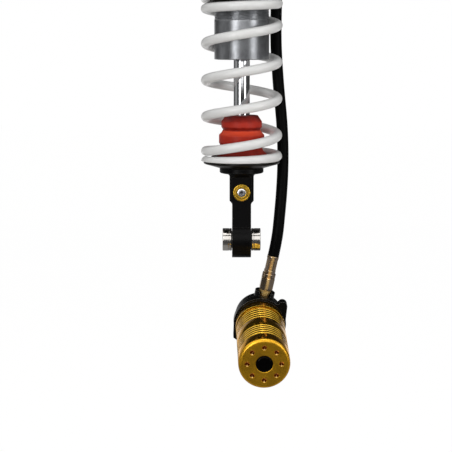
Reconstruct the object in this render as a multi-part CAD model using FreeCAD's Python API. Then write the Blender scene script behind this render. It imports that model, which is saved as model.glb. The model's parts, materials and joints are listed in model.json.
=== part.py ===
import FreeCAD, Part
import math
import os

# Motorcycle shock absorber with a hose-fed remote reservoir.
# Millimetres. The origin is the centre of the upper eye, +Z points up along the damper,
# +X is the axis of both eye bolts, and the adjuster knob faces -Y.
# Every piece is one STEP file in parts, named after the piece.

V = FreeCAD.Vector
X_AXIS = V(1, 0, 0)
Y_AXIS = V(0, 1, 0)
Z_AXIS = V(0, 0, 1)
ORIGIN = V(0, 0, 0)

# Working clearances
RUNNING_CLEARANCE = 0.05
SEATED_CLEARANCE = 0.03
THREAD_CLEARANCE = 0.15
LOOSE_CLEARANCE = 0.3

# How far a cutter runs past what it cuts, and how far joined solids sink into each other
OVERRUN = 1.0
SINK = 2.0

# Damper: rod, bore and travel
STROKE = 54.0
ROD_D = 16.0
BORE_D = 46.0
TUBE_WALL = 4.0
TUBE_OD = BORE_D + 2 * TUBE_WALL
EYE_TO_CHAMBER = 34.0
CHAMBER_SPARE = 6.0
BUMP_STOP_GAP = 0.8

# Piston stack on the rod's shank, from its top end downwards
SHANK_D = 10.0
SHANK_SPARE = 3.0
PISTON_NUT_HEIGHT = 8.0
PISTON_NUT_FLATS = 19.0
BACKING_WASHER_HEIGHT = 2.0
BACKING_WASHER_D = 22.0
SHIM_COUNT = 5
SHIM_THICKNESS = 0.6
SHIM_SMALL_D = 24.0
SHIM_STEP_D = 3.0
PISTON_HEIGHT = 12.0
PISTON_GAP = 0.6
PISTON_PORTS = 6
PISTON_PORT_D = 4.5
PISTON_PORT_CIRCLE_D = 28.0
PISTON_BAND_HEIGHT = 7.0
PISTON_BAND_DEPTH = 1.2
TOP_OUT_PLATE_HEIGHT = 2.0
TOP_OUT_PLATE_D = 30.0
TOP_OUT_BUMPER_HEIGHT = 3.7
TOP_OUT_BUMPER_D = 26.0

# Seal head and what closes the lower end of the tube
SEAL_HEAD_LENGTH = 21.0
SEAL_POCKET_D = 25.0
SEAL_POCKET_DEPTH = 5.0
BUSH_OD = 19.0
BUSH_LENGTH = 11.0
WIPER_OD = 24.0
WIPER_HEIGHT = 4.0
SEAL_HEAD_LAND_D = 17.6
O_RING_D = 2.6
CIRCLIP_HEIGHT = 1.6
CIRCLIP_DEPTH = 1.0
CIRCLIP_WIDTH = 2.5
CIRCLIP_OPENING = 6.0
END_CAP_HEIGHT = 2.4
END_CAP_HOLE_D = 19.0

# Rod bore and metering needle
ROD_BORE_D = 6.2
ROD_ORIFICE_D = 3.2
ROD_ORIFICE_LENGTH = 4.0
PUSH_ROD_D = 5.9
NEEDLE_D = 2.6
NEEDLE_LENGTH = 3.0
NEEDLE_GAP = 1.5
PUSH_ROD_TIP_D = 2.0
PUSH_ROD_TIP_LENGTH = 2.0
PUSH_ROD_TAPER = 1.0
NEEDLE_POINT_D = 0.6
ROD_THREAD_LENGTH = 17.0

# Coil spring, right-hand wound, both ends closed and ground. It clears the tube by the
# upper seat's spigot.
WIRE_D = 9.4
SEAT_SPIGOT_WALL = 3.15
SPRING_PILOT_CLEARANCE = 0.5
SPRING_INNER_R = TUBE_OD / 2 + THREAD_CLEARANCE + SEAT_SPIGOT_WALL + SPRING_PILOT_CLEARANCE
SPRING_OD = 2 * (SPRING_INNER_R + WIRE_D)
SPRING_LENGTH = 159.0
SPRING_TURNS = 6.0
CLOSED_TURNS = 1.0
BLEND_TURNS = 0.16
CLOSED_PITCH = 9.9
SPRING_START_DEG = 180.0
GRIND_OFFSET = 0.3
GRIND_STOCK = 20.0
ARCS_PER_TURN = 4
PILOT_R = SPRING_INNER_R - SPRING_PILOT_CLEARANCE

# Spring seats and collars, each rim set in from the piece that it carries
SEAT_EDGE = 0.4
LOWER_SEAT_D = SPRING_OD - 4.9
LOWER_SEAT_RIM = 2.7
LOWER_SEAT_HEIGHT = 7.5
LOWER_SEAT_FOOT_D = 42.0
SEAT_LIP_HEIGHT = 4.8
SEAT_LIP_WIDTH = 4.0
SEAT_LIP_EDGE = 1.0
UPPER_SEAT_D = SPRING_OD - 3.4
UPPER_SEAT_HEIGHT = 7.0
UPPER_SEAT_RIM = 4.3
UPPER_SEAT_SPIGOT = 6.0
PRELOAD_RING_D = UPPER_SEAT_D - 3.0
PRELOAD_RING_HEIGHT = 12.0
LOCK_RING_D = PRELOAD_RING_D - 4.0
LOCK_RING_HEIGHT = 8.0
COLLAR_EDGE = 1.0
COLLAR_ROOM = 11.0
SPANNER_SLOTS = 6
SPANNER_SLOT_WIDTH = 8.0
SPANNER_SLOT_DEPTH = 4.0

# Bump stop: its foot stands inside the lower seat's lip, and each other diameter is set in
# from the foot. Heights are measured down from its top.
BUMP_STOP_HEIGHT = 45.0
BUMP_STOP_FOOT_GAP = 1.3
BUMP_STOP_FOOT_D = 2 * (PILOT_R - SEAT_LIP_WIDTH - BUMP_STOP_FOOT_GAP)
BUMP_STOP_MIDDLE_INSET = 2.5
BUMP_STOP_NECK_INSET = 4.8
BUMP_STOP_GROOVE_INSET = 6.55
BUMP_STOP_TOP_INSET = 9.9
BUMP_STOP_MIDDLE_D = BUMP_STOP_FOOT_D - 2 * BUMP_STOP_MIDDLE_INSET
BUMP_STOP_NECK_D = BUMP_STOP_FOOT_D - 2 * BUMP_STOP_NECK_INSET
BUMP_STOP_UPPER_D = BUMP_STOP_NECK_D
BUMP_STOP_GROOVE_D = BUMP_STOP_FOOT_D - 2 * BUMP_STOP_GROOVE_INSET
BUMP_STOP_TOP_D = BUMP_STOP_FOOT_D - 2 * BUMP_STOP_TOP_INSET
BUMP_STOP_BORE_GAP = 0.2
BUMP_STOP_CROWN = 6.5
BUMP_STOP_UPPER_END = 11.5
BUMP_STOP_GROOVE_AT = 13.8
BUMP_STOP_MIDDLE_START = 18.8
BUMP_STOP_MIDDLE_END = 28.0
BUMP_STOP_NECK_AT = 32.2
BUMP_STOP_FOOT_START = 36.2
BUMP_STOP_FOOT_ROUND = 3.0
BUMP_STOP_EDGE = 1.5

# Eyes and their spherical bearings, the same above and below
EYE_OD = 36.0
EYE_WIDTH = 18.8
BEARING_OD = 28.0
RACE_WALL = 2.5
BALL_TRIM = 4.0
RACE_SET_IN = 2.0
BALL_D = BEARING_OD - 2 * RACE_WALL
BALL_WIDTH = BALL_D - 2 * BALL_TRIM
BEARING_WIDTH = BALL_WIDTH - 2 * RACE_SET_IN
EYE_CIRCLIP_WIDTH = 1.2
EYE_CIRCLIP_DEPTH = 0.8
EYE_CIRCLIP_SECTION = 2.0
EYE_CIRCLIP_BORE_D = BEARING_OD - 2 * EYE_CIRCLIP_SECTION
EYE_CIRCLIP_OPENING = 8.0
EYE_SEAL_WIDTH = 2.2
EYE_SEAL_SECTION = 4.5
EYE_SEAL_BORE_D = BEARING_OD - 2 * EYE_SEAL_SECTION
SPACER_D = 22.5
SPACER_SEAL_GAP = 0.9
SPACER_COLLAR_STEP = 1.6
SPACER_COLLAR_D = EYE_SEAL_BORE_D - 2 * SPACER_SEAL_GAP
SPACER_SHANK_D = SPACER_COLLAR_D - 2 * SPACER_COLLAR_STEP
SPACER_SPAN = 37.9
SPACER_GAP = 0.4
SPACER_CHAMFER = 0.7
EYE_BOLT_HOLE_D = 10.2

# Lower mount
FLANGE_D = 43.6
FLANGE_HEIGHT = 4.6
FLANGE_CHAMFER = 0.8
FLANGE_DISH = 0.7
NECK_HEIGHT = 3.1
MILLED_TOP_DROP = 1.0
BLOCK_HEIGHT = 24.0
BLOCK_WIDTH = 23.9
BLOCK_DEPTH = 24.0
BLOCK_FACE_WIDTH = 19.4
BLOCK_TAPER = 4.6
BLOCK_CHAMFER = 1.95
ARM_WIDTH = 18.7
ARM_LENGTH = 35.4

# Rebound adjuster in the lower mount's front face
KNOB_D = 16.8
KNOB_HEIGHT = 5.0
KNOB_ROUND = 0.9
KNOB_BACK_EDGE = 0.4
KNOB_DROP = 15.5
KNOB_GROOVE_D = 13.2
KNOB_GROOVE_WIDTH = 0.9
KNOB_GROOVE_DEPTH = 0.5
KNOB_NOTCH_D = 1.4
KNOB_NOTCH_DEPTH = 0.8
KNOB_COUNTERBORE_D = 18.0
KNOB_COUNTERBORE_DEPTH = 1.0
KNOB_SPINDLE_D = 6.8
KNOB_BUSH_LENGTH = 2.7
KNOB_TRACK_D = 12.4
KNOB_TRACK_WIDTH = 2.6
KNOB_TRACK_DEPTH = 1.1
KNOB_SCREW_HEAD_D = 8.3
KNOB_SCREW_HEAD_HEIGHT = 2.0
KNOB_SCREW_PROUD = 0.5
KNOB_SCREW_D = 3.0
KNOB_SCREW_LENGTH = 6.0
KNOB_SCREW_FLATS = 4.0
KNOB_SCREW_SOCKET_DEPTH = 1.6
KNOB_DRIVE_D = 2.8
KNOB_DRIVE_LENGTH = 3.4
DETENT_BALL_D = 2.0
DETENT_SPRING_LENGTH = 4.5
DETENT_SPRING_OD = 1.8
DETENT_SPRING_ID = 1.0
ADJUSTER_BORE_D = 9.2
ADJUSTER_BORE_END = 10.0
CONE_LARGE_D = 8.4
CONE_SMALL_D = 4.4
CONE_LENGTH = 8.0
CONE_SHANK_LENGTH = 4.9
CONE_CENTRE_OFFSET = 3.0
CONE_SOCKET_DEPTH = 4.4

# Upper mount head
HEAD_D = TUBE_OD + 10.0
HEAD_EDGE = 1.5
HEAD_TOP_DROP = 20.0
HEAD_SKIRT = 18.0
HEAD_SHOULDER = 5.0
HEAD_NECK_DEPTH = 30.0
PORT_ANGLE_DEG = 43.0
PORT_BOSS_D = 19.0
PORT_BOSS_REACH = HEAD_D / 2 + 10.0
PORT_DROP = 28.0
PORT_PASSAGE_D = 5.0
PORT_PASSAGE_RADIUS = 15.0

# Hose fitting at the head
BANJO_THICKNESS = 9.0
BANJO_OD = 20.0
BANJO_BORE_D = 12.0
BANJO_LAND = 2.0
BANJO_WASHER_HEIGHT = 1.5
BANJO_WASHER_D = 17.0
BANJO_BOLT_D = 10.0
BANJO_BOLT_REACH = 12.0
BANJO_BOLT_FLATS = 17.0
BANJO_BOLT_HEAD_HEIGHT = 7.0
BANJO_BOLT_COLLAR = 1.5
BANJO_BOLT_COLLAR_HEIGHT = 1.2
BANJO_NECK_INSET = 0.3
BANJO_NECK_END_DROP = 25.0
FERRULE_D = 11.9
FERRULE_LENGTH = 18.7

# Hose. Its route is a list of points, from the upper ferrule to the lower one.
HOSE_D = 11.5
HOSE_END_LOW = (32.47, 14.95, -353.38)
HOSE_MIDDLE = [
    (35.1, 32.74, -98.0),
    (34.4, 33.4, -138.0),
    (37.4, 32.6, -183.0),
    (41.5, 29.6, -223.0),
    (42.3, 24.4, -258.0),
    (40.9, 18.4, -287.0),
    (38.6, 14.4, -312.0),
    (36.21, 12.64, -336.13),
]
TUBE_ARC_SHARE = 0.45

# Remote reservoir. s runs along its axis from the front face to the rear.
RESERVOIR_TILT_DEG = 7.8
RESERVOIR_YAW_DEG = 0.85
RESERVOIR_OD = 49.0
RESERVOIR_WALL = 3.5
RESERVOIR_BORE_D = RESERVOIR_OD - 2 * RESERVOIR_WALL
RESERVOIR_RIM_ROUND = 3.2
RESERVOIR_CAP_LENGTH = 17.6
RESERVOIR_SPIGOT = 14.0
RIDGE_DEPTH = 0.8
RIDGE_GROOVE_WIDTH = 2.6
FRONT_RIDGES = 5
FRONT_RIDGE_PITCH = 5.5
BAND_GAP = 19.0
REAR_RIDGES = 5
REAR_RIDGE_PITCH = 6.0
DEEP_GROOVE_WIDTH = 6.3
DEEP_GROOVE_DEPTH = 1.8
DEEP_GROOVE_SLOPE = 0.6
REAR_RING_WIDTH = 4.0
REAR_RING_PROUD = 0.3
REAR_RING_SLOPE = 0.3
REAR_PLAIN_LENGTH = 11.62
DIMPLES = 8
DIMPLE_CIRCLE_INSET = 8.4
DIMPLE_CIRCLE_D = RESERVOIR_OD - 2 * DIMPLE_CIRCLE_INSET
DIMPLE_D = 4.8
DIMPLE_DEPTH = 2.6
DIMPLE_TIP_D = 0.6
PLUG_D = 16.0
PLUG_LENGTH = 7.8
PLUG_DOME = 1.2
PLUG_SHOULDER = 0.4
PLUG_HOLLOW_D = 8.0
PLUG_ROOF = 2.2
VALVE_D = 10.0
VALVE_LENGTH = 20.0
VALVE_NOSE_D = 7.0
VALVE_NOSE_LENGTH = 4.5
VALVE_CORE_D = 3.8
VALVE_CORE_LENGTH = 16.0
VALVE_CORE_INSET = 0.5
FLOATING_PISTON_START = 60.0
FLOATING_PISTON_LENGTH = 20.0
FLOATING_PISTON_WALL = 4.0
FLOATING_PISTON_GAP = 0.4
FLOATING_BAND_WIDTH = 6.0
FLOATING_BAND_DEPTH = 1.5

# Reservoir rear head, its port and the fitting on it
REAR_HEAD_LENGTH = 36.0
REAR_HEAD_WALL = 4.0
REAR_HEAD_ROUND = 10.0
CLAMP_ZONE_LENGTH = 17.0
CLAMP_ZONE_INSET = 1.1
CLAMP_ZONE_D = RESERVOIR_OD - 2 * CLAMP_ZONE_INSET
CLAMP_ZONE_SLOPE = 1.0
PORT_POSITION = 22.2
PORT_TWIST_DEG = 12.0
REAR_BOSS_D = 20.4
REAR_BOSS_PROUD = 4.3
REAR_BOSS_REACH = RESERVOIR_OD / 2 + REAR_BOSS_PROUD
REAR_PASSAGE_D = 6.0
REAR_SLOT_DEPTH = 4.9
REAR_SLOT_CLEARANCE = 0.3
ADAPTER_FLATS = 9.6
ADAPTER_FOOT_D = 8.6
ADAPTER_FOOT_HEIGHT = 2.6
ADAPTER_PROUD = 2.0
ADAPTER_SHANK = 4.0
ADAPTER_SHANK_D = 10.0
NUT_FLATS = 13.2
NUT_LENGTH = 13.3
NUT_CHAMFER = 1.2
COLLAR_D = 13.6
COLLAR_LENGTH = 4.4

# Reservoir clamp: a split band with a foot, a side lug and a pinch bolt below
LINER_THICKNESS = 1.0
CLAMP_START = 1.0
CLAMP_WIDTH = 10.5
CLAMP_BAND = 2.0
CLAMP_FOOT_PROUD = 2.2
CLAMP_FOOT_REACH = RESERVOIR_OD / 2 + CLAMP_FOOT_PROUD
CLAMP_FOOT_DROP = 14.7
CLAMP_TOE_WIDTH = 4.0
CLAMP_TOE_DROP = 3.0
CLAMP_FOOT_TOP = 5.0
CLAMP_WEB_BASE = 3.0
CLAMP_LUG_X = 22.8
CLAMP_LUG_Z = 18.0
CLAMP_LUG_D = 9.6
CLAMP_HOLE_D = 4.2
CLAMP_HOLE_SKIN = 2.5
CLAMP_SPLIT = 3.0
CLAMP_EAR_THICKNESS = 4.0
CLAMP_EAR_LENGTH = 12.0
CLAMP_BOLT_D = 5.0
CLAMP_BOLT_HEAD_D = 8.5
CLAMP_BOLT_HEAD_HEIGHT = 5.0
CLAMP_BOLT_LENGTH = 14.0
CLAMP_BOLT_SOCKET_FLATS = 4.0
CLAMP_BOLT_SOCKET_DEPTH = 2.5

# The damper is as long as the longer of two stacks: the stroke with the piston, seal head
# and bump stop, or the spring with its seat and collars under the head.
SHIM_STACK = SHIM_COUNT * SHIM_THICKNESS
PISTON_STACK = SHANK_SPARE + PISTON_NUT_HEIGHT + BACKING_WASHER_HEIGHT + 2 * SHIM_STACK + PISTON_HEIGHT
TOP_OUT_STACK = TOP_OUT_PLATE_HEIGHT + TOP_OUT_BUMPER_HEIGHT + LOOSE_CLEARANCE
END_STACK = SEAL_HEAD_LENGTH + CIRCLIP_HEIGHT + END_CAP_HEIGHT
STROKE_STACK = CHAMBER_SPARE + STROKE + PISTON_STACK + TOP_OUT_STACK + END_STACK \
    + STROKE + BUMP_STOP_GAP + BUMP_STOP_HEIGHT
SPRING_STACK = HEAD_SKIRT + COLLAR_ROOM + LOCK_RING_HEIGHT + PRELOAD_RING_HEIGHT + UPPER_SEAT_HEIGHT \
    + SPRING_LENGTH

# Heights along the damper, each from one before it
Z_CHAMBER_TOP = -EYE_TO_CHAMBER
Z_SPRING_BASE = Z_CHAMBER_TOP - max(STROKE_STACK, SPRING_STACK)
Z_SPRING_TOP = Z_SPRING_BASE + SPRING_LENGTH
Z_UPPER_SEAT_TOP = Z_SPRING_TOP + UPPER_SEAT_HEIGHT
Z_PRELOAD_RING_TOP = Z_UPPER_SEAT_TOP + PRELOAD_RING_HEIGHT
Z_LOCK_RING_TOP = Z_PRELOAD_RING_TOP + LOCK_RING_HEIGHT
Z_BUMP_STOP_TOP = Z_SPRING_BASE + BUMP_STOP_HEIGHT
Z_TUBE_END = Z_BUMP_STOP_TOP + BUMP_STOP_GAP + STROKE
Z_TUBE_CIRCLIP_BASE = Z_TUBE_END + END_CAP_HEIGHT
Z_SEAL_HEAD_BASE = Z_TUBE_CIRCLIP_BASE + CIRCLIP_HEIGHT
Z_SEAL_HEAD_TOP = Z_SEAL_HEAD_BASE + SEAL_HEAD_LENGTH
Z_BUMPER_BASE = Z_SEAL_HEAD_TOP + LOOSE_CLEARANCE
Z_ROD_SHOULDER = Z_BUMPER_BASE + TOP_OUT_BUMPER_HEIGHT
Z_PLATE_TOP = Z_ROD_SHOULDER + TOP_OUT_PLATE_HEIGHT
Z_PISTON_BASE = Z_PLATE_TOP + SHIM_STACK
Z_PISTON_TOP = Z_PISTON_BASE + PISTON_HEIGHT
Z_UPPER_SHIMS_TOP = Z_PISTON_TOP + SHIM_STACK
Z_NUT_BASE = Z_UPPER_SHIMS_TOP + BACKING_WASHER_HEIGHT
Z_NUT_TOP = Z_NUT_BASE + PISTON_NUT_HEIGHT
Z_SHANK_TOP = Z_NUT_TOP + SHANK_SPARE
Z_FLANGE_TOP = Z_SPRING_BASE - LOWER_SEAT_HEIGHT
Z_FLANGE_BASE = Z_FLANGE_TOP - FLANGE_HEIGHT
Z_BLOCK_TOP = Z_FLANGE_BASE - NECK_HEIGHT
Z_BLOCK_BASE = Z_BLOCK_TOP - BLOCK_HEIGHT
Z_ARM_TOP = Z_BLOCK_BASE - BLOCK_TAPER
Z_LOWER_EYE = Z_ARM_TOP - ARM_LENGTH
Z_KNOB = Z_BLOCK_TOP - KNOB_DROP
Z_ROD_END = Z_FLANGE_TOP - ROD_THREAD_LENGTH

ROD_R = ROD_D / 2
BORE_R = BORE_D / 2
TUBE_R = TUBE_OD / 2
FITTED_R = BORE_R - SEATED_CLEARANCE
EYE_HALF = EYE_WIDTH / 2
FACE_Y = -BLOCK_DEPTH / 2

# Stations along the reservoir
S_RIDGES_A = RESERVOIR_CAP_LENGTH
S_GAP = S_RIDGES_A + FRONT_RIDGES * FRONT_RIDGE_PITCH
S_RIDGES_B = S_GAP + BAND_GAP
S_DEEP = S_RIDGES_B + REAR_RIDGES * REAR_RIDGE_PITCH
S_RING = S_DEEP + DEEP_GROOVE_WIDTH
S_PLAIN = S_RING + REAR_RING_WIDTH
S_HEAD = S_PLAIN + REAR_PLAIN_LENGTH
S_HEAD_END = S_HEAD + REAR_HEAD_LENGTH
S_PORT = S_HEAD + PORT_POSITION
R_PORT_SEAT = REAR_BOSS_REACH - REAR_SLOT_DEPTH
R_NUT = REAR_BOSS_REACH + ADAPTER_PROUD
R_COLLAR = R_NUT + NUT_LENGTH
R_FERRULE = R_COLLAR + COLLAR_LENGTH
R_HOSE = R_FERRULE + FERRULE_LENGTH
RESERVOIR_R = RESERVOIR_OD / 2
RESERVOIR_BORE_R = RESERVOIR_BORE_D / 2


def save(shape, name):
    """Write one piece to its STEP file and report its solids and volume."""
    shape = shape.removeSplitter() if len(shape.Solids) == 1 else shape
    if not shape.isValid():
        print("not valid:", name)
    shape.exportStep("parts/" + name + ".step")
    print(name, len(shape.Solids), round(shape.Volume, 1))


def outline_wire(steps):
    """Closed wire in the XZ plane. A step is a corner, or a pair (through, end) for an arc."""
    def point(pair):
        return V(pair[0], 0, pair[1])

    edges = []
    here = point(steps[0])
    for step in steps[1:] + [steps[0]]:
        if isinstance(step[0], tuple):
            end = point(step[1])
            edges.append(Part.Arc(here, point(step[0]), end).toShape())
        else:
            end = point(step)
            if (end - here).Length > 1e-6:
                edges.append(Part.LineSegment(here, end).toShape())
        here = end
    return Part.Wire(edges)


def turned(steps):
    """Solid of revolution about Z from an outline of (radius, height) steps."""
    return Part.Face(outline_wire(steps)).revolve(ORIGIN, Z_AXIS, 360)


def ring(outer_d, inner_d, low, high):
    """Plain ring or washer about Z between two heights."""
    shape = Part.makeCylinder(outer_d / 2, high - low, V(0, 0, low))
    if inner_d > 0:
        shape = shape.cut(Part.makeCylinder(inner_d / 2, high - low, V(0, 0, low)))
    return shape


def about_x(shape, z=0.0):
    """Turn a shape made about Z so that its axis lies along +X at height z."""
    moved = shape.copy()
    moved.rotate(ORIGIN, Y_AXIS, 90)
    moved.translate(V(0, 0, z))
    return moved


def about_y(shape, z=0.0):
    """Turn a shape made about Z so that its axis lies along +Y at height z."""
    moved = shape.copy()
    moved.rotate(ORIGIN, X_AXIS, -90)
    moved.translate(V(0, 0, z))
    return moved


def hexagon(flats, low, high):
    """Hexagonal prism about Z, flats apart, between two heights."""
    corner = flats / math.sqrt(3)
    points = [V(corner * math.cos(math.radians(60 * k)), corner * math.sin(math.radians(60 * k)), low)
              for k in range(7)]
    return Part.Face(Part.makePolygon(points)).extrude(V(0, 0, high - low))


def extruded(steps, start, length):
    """Prism from an outline in XZ, pushed along +Y from start."""
    face = Part.Face(outline_wire(steps))
    face.translate(V(0, start, 0))
    return face.extrude(V(0, length, 0))


def around(shape, count, first_deg=0.0):
    """Copies of a shape spaced evenly about Z."""
    copies = []
    for k in range(count):
        copy = shape.copy()
        copy.rotate(ORIGIN, Z_AXIS, first_deg + 360.0 * k / count)
        copies.append(copy)
    return copies


def group(shapes):
    """Several separate solids as one piece."""
    return Part.makeCompound(shapes)


def o_ring(centre_r, height, section_d):
    """O-ring of round section about Z."""
    return Part.makeTorus(centre_r, section_d / 2, V(0, 0, height))


def eye_bore(centre_z):
    """The cut for an eye's bearing: bore and two circlip grooves."""
    bore = ring(BEARING_OD, 0, -EYE_HALF - OVERRUN, EYE_HALF + OVERRUN)
    groove_d = BEARING_OD + 2 * EYE_CIRCLIP_DEPTH
    inner = BEARING_WIDTH / 2
    for low in (inner, -inner - EYE_CIRCLIP_WIDTH):
        bore = bore.fuse(ring(groove_d, 0, low, low + EYE_CIRCLIP_WIDTH))
    return about_x(bore, centre_z)


def eye_bearing(prefix, centre_z):
    """Race, circlips, dust seals, ball and spacers of one eye."""
    half = BEARING_WIDTH / 2
    cup_r = BALL_D / 2 + RUNNING_CLEARANCE
    lip_r = math.sqrt(cup_r ** 2 - half ** 2)
    outer_r = BEARING_OD / 2 - SEATED_CLEARANCE
    race = turned([(outer_r, -half), (outer_r, half), (lip_r, half), ((cup_r, 0), (lip_r, -half))])
    save(about_x(race, centre_z), prefix + "_bearing_race")

    clip_d = BEARING_OD + 2 * EYE_CIRCLIP_DEPTH - 2 * SEATED_CLEARANCE
    gap_box = Part.makeBox(EYE_CIRCLIP_OPENING, BEARING_OD, EYE_CIRCLIP_WIDTH * 3,
                           V(-EYE_CIRCLIP_OPENING / 2, 0, half - EYE_CIRCLIP_WIDTH))
    clip = ring(clip_d, EYE_CIRCLIP_BORE_D, half, half + EYE_CIRCLIP_WIDTH).cut(gap_box)
    seal_d = BEARING_OD - 2 * SEATED_CLEARANCE
    seal_high = EYE_HALF - LOOSE_CLEARANCE
    seal = ring(seal_d, EYE_SEAL_BORE_D, seal_high - EYE_SEAL_WIDTH, seal_high)
    for name, one in (("_bearing_circlips", clip), ("_bearing_seals", seal)):
        other = one.mirror(ORIGIN, Z_AXIS)
        save(group([about_x(one, centre_z), about_x(other, centre_z)]), prefix + name)

    ball_r = BALL_D / 2
    ball_half = BALL_WIDTH / 2
    face_r = math.sqrt(ball_r ** 2 - ball_half ** 2)
    hole_r = SPACER_SHANK_D / 2 + SEATED_CLEARANCE
    ball = turned([(hole_r, -ball_half), (face_r, -ball_half), ((ball_r, 0), (face_r, ball_half)),
                   (hole_r, ball_half)])
    save(about_x(ball, centre_z), prefix + "_bearing_ball")

    hole_r = EYE_BOLT_HOLE_D / 2
    shank_r = SPACER_SHANK_D / 2
    collar_r = SPACER_COLLAR_D / 2
    flange_r = SPACER_D / 2
    inner = EYE_HALF + SPACER_GAP
    end = SPACER_SPAN / 2
    cut = SPACER_CHAMFER
    spacer = turned([(hole_r, RUNNING_CLEARANCE), (shank_r, RUNNING_CLEARANCE), (shank_r, ball_half),
                     (collar_r, ball_half), (collar_r, inner), (flange_r - cut, inner),
                     (flange_r, inner + cut), (flange_r, end - cut), (flange_r - cut, end),
                     (hole_r + cut, end), (hole_r, end - cut)])
    other = spacer.mirror(ORIGIN, Z_AXIS)
    save(group([about_x(spacer, centre_z), about_x(other, centre_z)]), prefix + "_spacers")


def make_head():
    """Upper mount head: eye, neck, cap over the tube and boss for the hose."""
    top = -HEAD_TOP_DROP
    base = Z_CHAMBER_TOP - HEAD_SKIRT
    r = HEAD_D / 2
    cap = turned([(0, base), (r - HEAD_EDGE, base), (r, base + HEAD_EDGE), (r, top - HEAD_SHOULDER),
                  (r - HEAD_SHOULDER, top), (0, top)])
    eye = about_x(ring(EYE_OD, 0, -EYE_HALF, EYE_HALF))
    half = HEAD_NECK_DEPTH / 2
    neck = Part.makeBox(EYE_WIDTH, HEAD_NECK_DEPTH, HEAD_TOP_DROP + SINK, V(-EYE_HALF, -half, top - SINK))
    boss = about_x(ring(PORT_BOSS_D, 0, TUBE_R, PORT_BOSS_REACH), -PORT_DROP)
    boss.rotate(ORIGIN, Z_AXIS, PORT_ANGLE_DEG)
    head = cap.fuse([eye, neck, boss])
    head = head.cut(Part.makeCylinder(TUBE_R + SEATED_CLEARANCE, HEAD_SKIRT, V(0, 0, base)))
    head = head.cut(eye_bore(0))
    passage = about_x(ring(PORT_PASSAGE_D, 0, PORT_PASSAGE_RADIUS, PORT_BOSS_REACH), -PORT_DROP)
    thread_d = BANJO_BOLT_D + 2 * SEATED_CLEARANCE
    thread_end = PORT_BOSS_REACH - BANJO_BOLT_REACH - OVERRUN
    thread = about_x(ring(thread_d, 0, thread_end, PORT_BOSS_REACH), -PORT_DROP)
    drop = Part.makeCylinder(PORT_PASSAGE_D / 2, EYE_TO_CHAMBER - PORT_DROP,
                             V(PORT_PASSAGE_RADIUS, 0, Z_CHAMBER_TOP))
    for cutter in (passage, thread, drop):
        cutter.rotate(ORIGIN, Z_AXIS, PORT_ANGLE_DEG)
        head = head.cut(cutter)
    save(head, "upper_mount_head")


def make_tube():
    """Threaded damper tube with the circlip groove at its lower end."""
    tube = ring(TUBE_OD, BORE_D, Z_TUBE_END, Z_CHAMBER_TOP)
    groove = ring(BORE_D + 2 * CIRCLIP_DEPTH, 0, Z_TUBE_CIRCLIP_BASE, Z_SEAL_HEAD_BASE)
    save(tube.cut(groove), "cylinder_tube")


def make_seal_head():
    """Seal head, its seals and bush, and what holds them in the tube."""
    seal_base = Z_SEAL_HEAD_TOP - SEAL_POCKET_DEPTH
    bush_base = seal_base - BUSH_LENGTH
    wiper_top = Z_SEAL_HEAD_BASE + WIPER_HEIGHT
    seal_r = SEAL_POCKET_D / 2
    bush_r = BUSH_OD / 2
    wiper_r = WIPER_OD / 2
    land_r = SEAL_HEAD_LAND_D / 2
    body = turned([(land_r, bush_base), (bush_r, bush_base), (bush_r, seal_base), (seal_r, seal_base),
                   (seal_r, Z_SEAL_HEAD_TOP), (FITTED_R, Z_SEAL_HEAD_TOP), (FITTED_R, Z_SEAL_HEAD_BASE),
                   (wiper_r, Z_SEAL_HEAD_BASE), (wiper_r, wiper_top), (land_r, wiper_top)])
    mid = (Z_SEAL_HEAD_TOP + Z_SEAL_HEAD_BASE) / 2
    groove_r = FITTED_R - O_RING_D
    body = body.cut(ring(BORE_D, 2 * groove_r, mid - O_RING_D / 2, mid + O_RING_D / 2))
    save(body, "seal_head")
    save(o_ring(FITTED_R - O_RING_D / 2, mid, O_RING_D - 2 * SEATED_CLEARANCE), "seal_head_o_ring")

    rod_hole = ROD_D + 2 * RUNNING_CLEARANCE
    fit = 2 * SEATED_CLEARANCE
    save(ring(BUSH_OD - fit, rod_hole, bush_base, seal_base), "rod_guide_bush")
    save(ring(SEAL_POCKET_D - fit, rod_hole, seal_base, Z_SEAL_HEAD_TOP - RUNNING_CLEARANCE), "rod_seal")
    save(ring(WIPER_OD - fit, rod_hole, Z_SEAL_HEAD_BASE, wiper_top), "dust_wiper")

    clip = ring(BORE_D + 2 * CIRCLIP_DEPTH - fit, BORE_D + 2 * CIRCLIP_DEPTH - 2 * CIRCLIP_WIDTH,
                Z_TUBE_CIRCLIP_BASE, Z_SEAL_HEAD_BASE)
    gap_box = Part.makeBox(CIRCLIP_OPENING, BORE_D, CIRCLIP_HEIGHT * 3,
                           V(-CIRCLIP_OPENING / 2, 0, Z_TUBE_CIRCLIP_BASE - CIRCLIP_HEIGHT))
    save(clip.cut(gap_box), "seal_head_circlip")
    save(ring(2 * FITTED_R, END_CAP_HOLE_D, Z_TUBE_END, Z_TUBE_CIRCLIP_BASE), "tube_end_cap")


def shim_stack(low, growing):
    """Tapered stack of thin discs that lie on each other."""
    discs = []
    for k in range(SHIM_COUNT):
        step = k if growing else SHIM_COUNT - 1 - k
        z = low + k * SHIM_THICKNESS
        discs.append(ring(SHIM_SMALL_D + SHIM_STEP_D * step, SHANK_D + 2 * SEATED_CLEARANCE,
                          z, z + SHIM_THICKNESS))
    return group(discs)


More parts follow.
